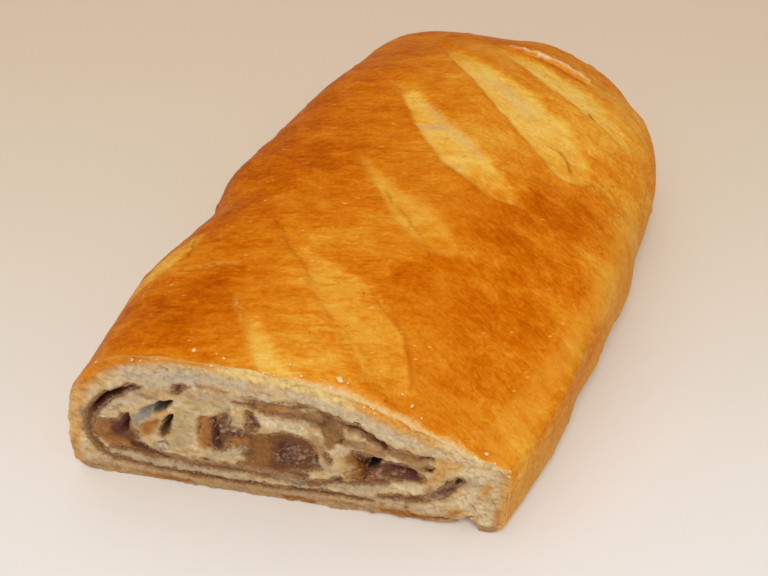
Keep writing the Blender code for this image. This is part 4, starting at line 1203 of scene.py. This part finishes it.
def crustRise(places, normals, share):
    # how far the crust stands out in mm, and the marks that the finish shows
    x, y, z = (places / mm).T
    crown = ease(z, 14.0, 26.0)
    slashed = slashFields(x + 0.5 * cloud(places, 0.006, 31, 2), y + 0.5 * cloud(places, 0.005, 33, 2))
    floor, depth, lipUp = (field * crown for field in slashed)
    jag = 0.35 * cloud(places, 0.0022, 35, 2)
    lip = (1.0 - ease(strokeDistance(x + jag, y + jag, crustLook["lip"]), -0.5, 0.4)) * crown
    slit = (1.0 - ease(strokeDistance(x, y, crustLook["slit"]), -0.7, 0.7)) * crown
    swell = 0.8 * ease(y, -2.6, -1.2) * (1.0 - ease(y, 6.0, 24.0)) * ease(x, 50.0, 56.0)
    swell = addPatches(swell * (1.0 - ease(z, 12.0, 20.0)), x, y, crustLook["swells"])
    rise = swell + 0.45 * cloud(places, 0.030, 41, 2)
    rise = rise + 0.16 * cloud(places * (0.6, 1.5, 1.0), 0.007, 43, 2)
    rise = rise + 0.05 * cloud(places * (0.5, 1.6, 1.0), 0.0025, 45, 2)
    blister = np.maximum(0.0, cloud(places, 0.0042, 47, 1) - 0.45) * 0.9
    rise = rise + blister * (1 - floor) - depth + lipUp
    rise = rise + 0.7 * lip * (0.6 + 0.8 * cloud(places, 0.0018, 49, 1)) - 1.3 * slit * (1 - lip)
    dark = np.zeros(len(x))
    waveX, waveY = x + 0.35 * cloud(places, 0.003, 37, 2), y + 0.35 * cloud(places, 0.003, 39, 2)
    # each line sinks and is darkened; the darkening is painted shade, partly browner crust
    for stroke, deep, shade in crustLook["grooves"]:
        away = strokeDistance(waveX, waveY, stroke)
        line = (1.0 - ease(away, -0.1, 0.45)) * crown
        rise = rise - deep * line + 0.35 * deep * np.exp(-(((away - 0.9) / 0.5) ** 2)) * crown
        dark = np.maximum(dark, shade * line)
    skin = 1.0 - ease(-normals[:, 2], 0.3, 0.8)
    rise = rise * skin * (1.0 - ease(share, 0.985, 0.999)) * ease(z, 0.0, 3.0)
    return rise, {"floor": floor, "lipUp": lipUp, "lip": lip, "dark": dark, "wave": (waveX, waveY)}


def shapeEdge(moved, places, normals, q, fromCut, onFace):
    # the torn edge of the cut, its crumbly lower edge and where that is lifted or pushed in
    z = places[:, 2] / mm
    nearCut = np.where(onFace, 0.0, np.exp(-fromCut / 1.6))
    torn = cloud(places, 0.0026, 51, 3) * doughPiece["edgeRag"]
    moved = moved + inward * (torn * nearCut * mm)[:, None]
    ragged = 0.35 + 0.45 * cloud(places, 0.0022, 53, 3)
    moved[:, 2] += nearCut * ease(-normals[:, 2], -0.2, 0.5) * ragged * mm
    lifted = np.zeros(len(q))
    for amount, rising, falling in doughPiece["lifts"]:
        lifted = lifted + amount * ease(q, *rising) * (1.0 - ease(q, *falling))
    moved[:, 2] += lifted * np.clip(1.0 - z / 7.0, 0.0, 1.0) * np.exp(-fromCut / 9.0) * mm
    pushed = doughPiece["push"] * np.clip(1.0 - q / 9.0, 0.0, 1.2) * ease(z, 9.0, 20.0)
    moved[:, 0] += pushed * np.exp(-fromCut / 12.0) * mm
    return moved


def edgeDistance(places, onRim, faceAt):
    # from each point of the cut to its edge, in mm
    outer = places[onRim][:, [0, 2]] / mm
    toEdge = np.full(len(places), farAway)
    lot = 2000
    for start in range(0, len(faceAt), lot):
        part = faceAt[start:start + lot]
        gap = places[part][:, None, [0, 2]] / mm - outer[None]
        toEdge[part] = np.sqrt((gap**2).sum(2).min(1))
    return toEdge


def addPores(inset, flat, faceAt):
    # small bowls scattered over the cut
    draws = np.random.default_rng(65)
    for pore in range(doughPiece["pores"]):
        at = faceAt[draws.integers(len(faceAt))]
        size = draws.uniform(0.25, 0.75) * (1.5 if draws.random() < 0.12 else 1.0)
        slant = draws.uniform(0, math.pi)
        close = np.abs(flat[faceAt, :2] - flat[at, :2]) < doughPiece["poreReach"]
        near = faceAt[close[:, 0] & close[:, 1]]
        aside = flat[near, :2] - flat[at, :2]
        long = aside[:, 0] * math.cos(slant) + aside[:, 1] * math.sin(slant)
        wide = -aside[:, 0] * math.sin(slant) + aside[:, 1] * math.cos(slant)
        bowl = np.clip(1.0 - (long / (size * 1.5)) ** 2 - (wide / size) ** 2, 0.0, 1.0)
        inset[near] = inset[near] + 0.9 * size * bowl
    return inset


def crustMarks(places, normals, marks):
    # what the crust's finish reads away from the cut
    x, y, z = (places / mm).T
    floor, wave = marks["floor"], marks["wave"]
    bake = addPatches(crustLook["bake"] + np.zeros(len(x)), x, y, crustLook["patches"])
    bake = bake + 0.07 * cloud(places * (0.7, 1.2, 1.0), 0.012, 71, 3)
    bake = bake * (1 - floor) + floor * (0.10 + 0.07 * cloud(places, 0.006, 73, 2))
    bake = bake + 0.10 * marks["lipUp"]
    for stroke, amount in crustLook["tones"]:
        bake = bake + amount * strokeShade(*wave, stroke, 2.0)
    dusty = floor * 0.5 * ease(cloud(places, 0.0045, 75, 2), 0.0, 0.8)
    steep = 1.0 - ease(normals[:, 2], 0.1, 0.55)
    side = steep * (1.0 - ease(z, 9.0, 24.0)) * ease(x, 0.0, 30.0)
    return {
        "bake": bake,
        "pale": floor,
        "dry": np.maximum(dusty, strongest(*wave, crustLook["dry"], 1.2)),
        "grey": strongest(*wave, crustLook["grey"], 1.6),
        "dark": marks["dark"],
        "side": 0.8 * (side + 0.5 * steep * (1.0 - ease(z, 3.0, 10.0))),
        "lay": ease(x + 0.25 * y, -8.0, 26.0),
        "flour": 0.85 * marks["lip"],
    }


def tornShare(places, fromCut):
    # how pale the crust is where it tore along the cut
    x = places[:, 0] / mm
    narrow = (0.1 + 0.7 * ease(x, -14.0, 0.0)) * (1.0 + 0.7 * cloud(places, 0.0030, 77, 2))
    wide = (3.6 + 1.6 * cloud(places, 0.0060, 79, 2)) * ease(x, -4.0, 14.0)
    fringe = narrow + wide * (1.0 - 0.7 * ease(x, 42.0, 53.0))
    return (1.0 - np.clip(fromCut / np.maximum(fringe, 0.4), 0.0, 1.0)) * ease(fringe, 0.2, 0.9)


def slotEnd(u, v):
    return Station(form["filledTo"]).insidePoints(u, v)


def makeDough():
    mesh = doughBlock()
    block = readCoords(mesh)
    places, share, way = loafPlaces(block)
    writeCoords(mesh, places)
    normals = readNormals(mesh)
    onCut = block[:, 1] < -1 + flush
    onRim = onCut & (way >= 0)
    onFace = onCut & (way < 0)
    fromCut = share * form["length"] / mm
    fields = cutFields(places)
    fill, flat = fields["fill"], fields["flat"]

    # crust and the edge of the cut
    rise, marks = crustRise(places, normals, share)
    outward = np.where(onRim[:, None], normals * (1.0, 0.0, 1.0), normals)
    moved = places + outward * (np.where(onFace, 0.0, rise) * mm)[:, None]
    moved = shapeEdge(moved, places, normals, flat[:, 0], fromCut, onFace)

    # the cut: pores, hollows and the slot that the filling lies in
    faceAt = np.flatnonzero(onFace)
    toEdge = edgeDistance(places, onRim, faceAt)
    inset = addPores(cutRelief(flat), flat, faceAt)
    rounded = 0.35 * (1.0 - ease(fill, 0.0, 1.3)) ** 2
    sink = (inset + rounded + fields["hollow"]) * ease(toEdge, 0.0, 1.0)
    inSlot = onFace & (fill < 0.0)
    moved = moved + inward * (np.where(onFace & ~inSlot, sink, 0.0) * mm)[:, None]
    end = slotEnd(block[:, 0], block[:, 2])
    moved = np.where(inSlot[:, None], end + doughPiece["slotGap"] * mm * inward, moved)
    moved[:, 2] = np.maximum(moved[:, 2], 0.0)
    writeCoords(mesh, moved)

    finish = crustMarks(places, normals, marks)
    finish["torn"] = tornShare(places, fromCut)
    for name in ("dry", "grey", "dark", "torn"):
        finish[name] = np.where(onFace, 0.0, finish[name])
    finish["under"] = ease(-normals[:, 2], 0.4, 0.9) * (1 - onCut)
    finish["crumb"] = np.where(onCut, 1.0, 0.0)
    finish["soak"] = np.where(onCut, 0.55 * (1.0 - ease(fill, -0.4, 2.6)), 0.0)
    for name, values in finish.items():
        writeAttribute(mesh, name, values)
    writeTone(mesh, cutTones(fields, np.where(onRim, 0.0, toEdge)))
    return addPiece("bakedLoaf", mesh, doughMaterial(), doughPiece["sharpFrom"])


# ---- the nut filling, a rolled band that runs back through the loaf

fillingPiece = {
    "acrossCells": 300,
    "upCells": 126,
    "grow": 0.35,
    "sharpFrom": 60,        # degrees
}


def joinCells(grid):
    # no two cells may touch at a corner alone
    while True:
        a, b, c, d = grid[:-1, :-1], grid[1:, :-1], grid[:-1, 1:], grid[1:, 1:]
        fallingPair = a & d & ~b & ~c
        risingPair = b & c & ~a & ~d
        if not (fallingPair.any() or risingPair.any()):
            return
        grid[1:, :-1] |= fallingPair
        grid[:-1, :-1] |= risingPair


def fillingBlock():
    # the cells of the cut that the filling takes up, drawn out to a second layer
    across, up = fillingPiece["acrossCells"], fillingPiece["upCells"]
    bm = bmesh.new()
    bmesh.ops.create_grid(bm, x_segments=across, y_segments=up, size=1.0)
    centres = np.array([face.calc_center_median() for face in bm.faces])
    at = Station(0.0).insidePoints(centres[:, 0], centres[:, 1])
    columns = np.round((centres[:, 0] + 1) / 2 * across - 0.5).astype(int)
    rows = np.round((centres[:, 1] + 1) / 2 * up - 0.5).astype(int)
    grid = np.zeros((across, up), bool)
    grid[columns, rows] = cutFields(at)["fill"] < fillingPiece["grow"]
    joinCells(grid)
    dropped = [face for face, wanted in zip(bm.faces, grid[columns, rows]) if not wanted]
    bmesh.ops.delete(bm, geom=dropped, context="FACES")
    far = bmesh.ops.extrude_face_region(bm, geom=bm.faces[:], use_keep_orig=True)["geom"]
    farVerts = [part for part in far if isinstance(part, bmesh.types.BMVert)]
    bmesh.ops.translate(bm, verts=farVerts, vec=(0, 0, 1))
    mesh = bpy.data.meshes.new("nutFilling")
    bm.to_mesh(mesh)
    bm.free()
    return mesh


def turnOutward(mesh):
    bm = bmesh.new()
    bm.from_mesh(mesh)
    bmesh.ops.recalc_face_normals(bm, faces=bm.faces[:])
    bm.to_mesh(mesh)
    bm.free()


def makeFilling():
    mesh = fillingBlock()
    block = readCoords(mesh)
    front = Station(0.0).insidePoints(block[:, 0], block[:, 1])
    end = slotEnd(block[:, 0], block[:, 1])
    fields = cutFields(front)
    fill, flat, nutty = fields["fill"], fields["flat"], fields["nutty"]
    tone = cutTones(fields, np.full(len(flat), 9.0))
    lumps = 0.45 * cloud(flat, 3.6, 81, 2) + 0.42 * cloud(flat, 1.2, 83, 3)
    lumps = lumps * (0.3 + 0.7 * tone[:, 3]) - 0.55 * nutty * np.abs(cloud(flat, 1.5, 85, 2))
    deepIn = ease(-fill, -0.1, 1.5)
    level = cutRelief(flat) + 0.40 + 0.15 * ease(fill, -0.3, 0.1)
    sink = fields["hollow"] + level * (1.0 - deepIn) + (0.5 + lumps) * deepIn
    isBack = block[:, 2] > 0.5
    writeCoords(mesh, np.where(isBack[:, None], end, front + inward * (sink * mm)[:, None]))
    writeTone(mesh, tone)
    writeAttribute(mesh, "nutty", nutty)
    writeAttribute(mesh, "border", 0.45 * ease(fill, -1.6, 0.2))
    turnOutward(mesh)
    return addPiece("nutFilling", mesh, fillingMaterial(), fillingPiece["sharpFrom"])


# ---- loose crumbs and chopped nuts, each kind joined to one piece

def addBit(bm, centre, size, draws, flat=0.55):
    made = bmesh.ops.create_icosphere(bm, subdivisions=2, radius=size)["verts"]
    stretch = (draws.uniform(0.8, 1.5), draws.uniform(0.6, 1.0), flat * draws.uniform(0.7, 1.2))
    turn = draws.uniform(0, 2 * math.pi)
    lean = draws.uniform(-0.5, 0.5)
    for vert in made:
        px, py, pz = (vert.co[i] * stretch[i] * draws.uniform(0.62, 1.25) for i in range(3))
        px, pz = px * math.cos(lean) - pz * math.sin(lean), px * math.sin(lean) + pz * math.cos(lean)
        px, py = px * math.cos(turn) - py * math.sin(turn), px * math.sin(turn) + py * math.cos(turn)
        vert.co = (centre[0] + px, centre[1] + py, centre[2] + pz)


def bitsPiece(bm, name, material):
    mesh = bpy.data.meshes.new(name)
    bm.to_mesh(mesh)
    bm.free()
    return addPiece(name, mesh, material)


crumbsPiece = {
    "alongEdge": 80,
    "placed": (    # on the crust, in mm: across, along, size
        (-20.4, -96.4, 0.60), (-23, -96.0, 0.30), (-12.7, -95.5, 0.45), (-45, -99, 0.5),
        (-42, -99, 0.4), (-49, -102, 0.5), (2, -90, 0.5), (30, -82, 0.7), (27, -81, 0.4),
        (49, -80, 0.6), (33, -83, 0.4), (-15, -95, 0.3), (-28, -94, 0.3), (10, -90, 0.3),
        (13.7, -87.3, 0.8), (15.6, -87.0, 0.4), (-43, -105.3, 0.5),
    ),
}


def crustHeight(x, y):
    # height of the crust over a point of the plan
    share = (y - cutStart) / form["length"]
    for turn in range(6):
        station = Station(max(share, 0.0))
        aside = (x - station.left) / (station.right - station.left)
        share = (y - station.skew * aside - cutStart) / form["length"]
    station = Station(max(share, 0.0))
    across = 2 * (x - station.left) / (station.right - station.left) - 1
    return float(station.top(np.array([across]))[0])


def makeCrumbs():
    draws = np.random.default_rng(91)
    bm = bmesh.new()
    for x, y, size in crumbsPiece["placed"]:
        centre = (x * mm, y * mm, crustHeight(x * mm, y * mm) + size * 0.25 * mm)
        addBit(bm, centre, size * mm, draws)
    front = Station(0.0)
    for crumb in range(crumbsPiece["alongEdge"]):
        way = 1.0 + 1.05 * draws.random()
        point = front.ringPoints(np.array([way]))[0]
        size = draws.uniform(0.15, 0.42)
        sunk = draws.uniform(0.0, 0.5)
        shift = np.array([0.0, draws.normal(0.3, 0.9), -sunk]) * mm
        addBit(bm, point + shift, size * mm, draws)
    return bitsPiece(bm, "looseCrumbs", crumbsMaterial())


nutsPiece = {
    "count": 150,
    "tries": 9000,
    "smallest": 0.35,     # mm
    "largest": 1.1,
    "depth": 1.0,
    "flatness": 0.8,
}


def makeNuts():
    draws = np.random.default_rng(93)
    bm = bmesh.new()
    u, v = draws.uniform(-1, 1, (2, nutsPiece["tries"]))
    at = Station(0.0).insidePoints(u, v)
    fields = cutFields(at)
    nutty = fields["nutty"] > draws.uniform(0.0, 1.2, len(u))
    good = np.flatnonzero((fields["fill"] < -0.5) & (fields["hollow"] < 0.6) & nutty)
    for pick in good[:nutsPiece["count"]]:
        size = draws.uniform(nutsPiece["smallest"], nutsPiece["largest"]) * mm
        centre = at[pick] + inward * (nutsPiece["depth"] * mm + 0.35 * size)
        addBit(bm, centre, size, draws, nutsPiece["flatness"])
    return bitsPiece(bm, "choppedNuts", nutMaterial())


# ---- table, light and camera

stageLook = {
    # painted light falloff on the plain table, from near to far: lighter near the camera, darker and warmer
    # far off
    "floor": (
        (0.0, (238, 233, 229)), (0.16, (236, 228, 219)), (0.28, (231, 221, 208)),
        (0.40, (229, 216, 198)), (0.57, (226, 210, 187)), (0.9, (225, 203, 177)),
    ),
    "floorMottle": (200, 180, 160),
    # name, place, size, power, colour
    "lamps": (
        ("key", (0.28, -0.62, 1.0), 0.6, 7.5, (1.0, 0.98, 0.95)),
        ("top", (-0.36, 0.10, 1.2), 1.0, 1.9, (1.0, 0.98, 0.96)),
    ),
    "world": 0.46,
    "worldColour": (1.0, 0.98, 0.96, 1.0),
    "lens": 50.0,
    "sensor": 36.0,
    "cameraAt": (0.0939, -0.2321, 0.2364),
    "cameraTilt": 46.0,      # degrees
    "cameraTurn": 25.4,
}


def makeFloor():
    bm = bmesh.new()
    bmesh.ops.create_grid(bm, x_segments=4, y_segments=4, size=3.0)
    mesh = bpy.data.meshes.new("table")
    bm.to_mesh(mesh)
    bm.free()
    f = Finish("paleTable")
    # the tone runs along the camera's view: painted light falloff, lighter near and darker far
    split = f.add("ShaderNodeSeparateXYZ")
    turned = f.stretched((0, 0, math.radians(stageLook["cameraTurn"])), (1, 1, 1))
    f.join(turned, split.inputs[0])
    tone = f.ramp(f.spread(split.outputs[1], -0.12, 0.18), stageLook["floor"])
    mottle = f.spread(f.noise(0.05, 2.0), 0.3, 0.7, 0.0, 0.02)
    f.join(f.paint(tone, mottle, stageLook["floorMottle"]), f.shader.inputs["Base Color"])
    f.shader.inputs["Roughness"].default_value = 0.6
    f.shader.inputs["Specular IOR Level"].default_value = 0.2
    mesh.materials.append(f.material)
    return addObject("table", mesh)


def addLamp(name, place, size, power, colour):
    # a round lamp that shines at the middle of the table
    lamp = bpy.data.lights.new(name, "AREA")
    lamp.shape = "DISK"
    lamp.size = size
    lamp.energy = power
    lamp.color = colour
    holder = addObject(name, lamp)
    holder.location = place
    holder.rotation_euler = (-Vector(place)).to_track_quat("-Z", "Y").to_euler()


def setStage():
    makeFloor()
    for lamp in stageLook["lamps"]:
        addLamp(*lamp)
    world = bpy.data.worlds.new("studio")
    world.use_nodes = True
    background = world.node_tree.nodes["Background"]
    background.inputs["Color"].default_value = stageLook["worldColour"]
    background.inputs["Strength"].default_value = stageLook["world"]
    bpy.context.scene.world = world
    bpy.context.scene.view_settings.view_transform = "Standard"
    lens = bpy.data.cameras.new("camera")
    lens.lens = stageLook["lens"]
    lens.sensor_width = stageLook["sensor"]
    lens.clip_start = 0.01
    camera = addObject("camera", lens)
    camera.location = stageLook["cameraAt"]
    tilt, turn = math.radians(stageLook["cameraTilt"]), math.radians(stageLook["cameraTurn"])
    camera.rotation_euler = (tilt, 0.0, turn)
    bpy.context.scene.camera = camera


dough = makeDough()
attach(dough, "root")
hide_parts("dough")
print("kringle: baked loaf,", len(dough.data.polygons), "faces")

filling = makeFilling()
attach(filling, "root")
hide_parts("filling")
print("kringle: filling,", len(filling.data.polygons), "faces")

crumbs = makeCrumbs()
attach(crumbs, "root")
nuts = makeNuts()
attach(nuts, "root")
print("kringle: crumbs and nuts")

setStage()
print("kringle: stage set")
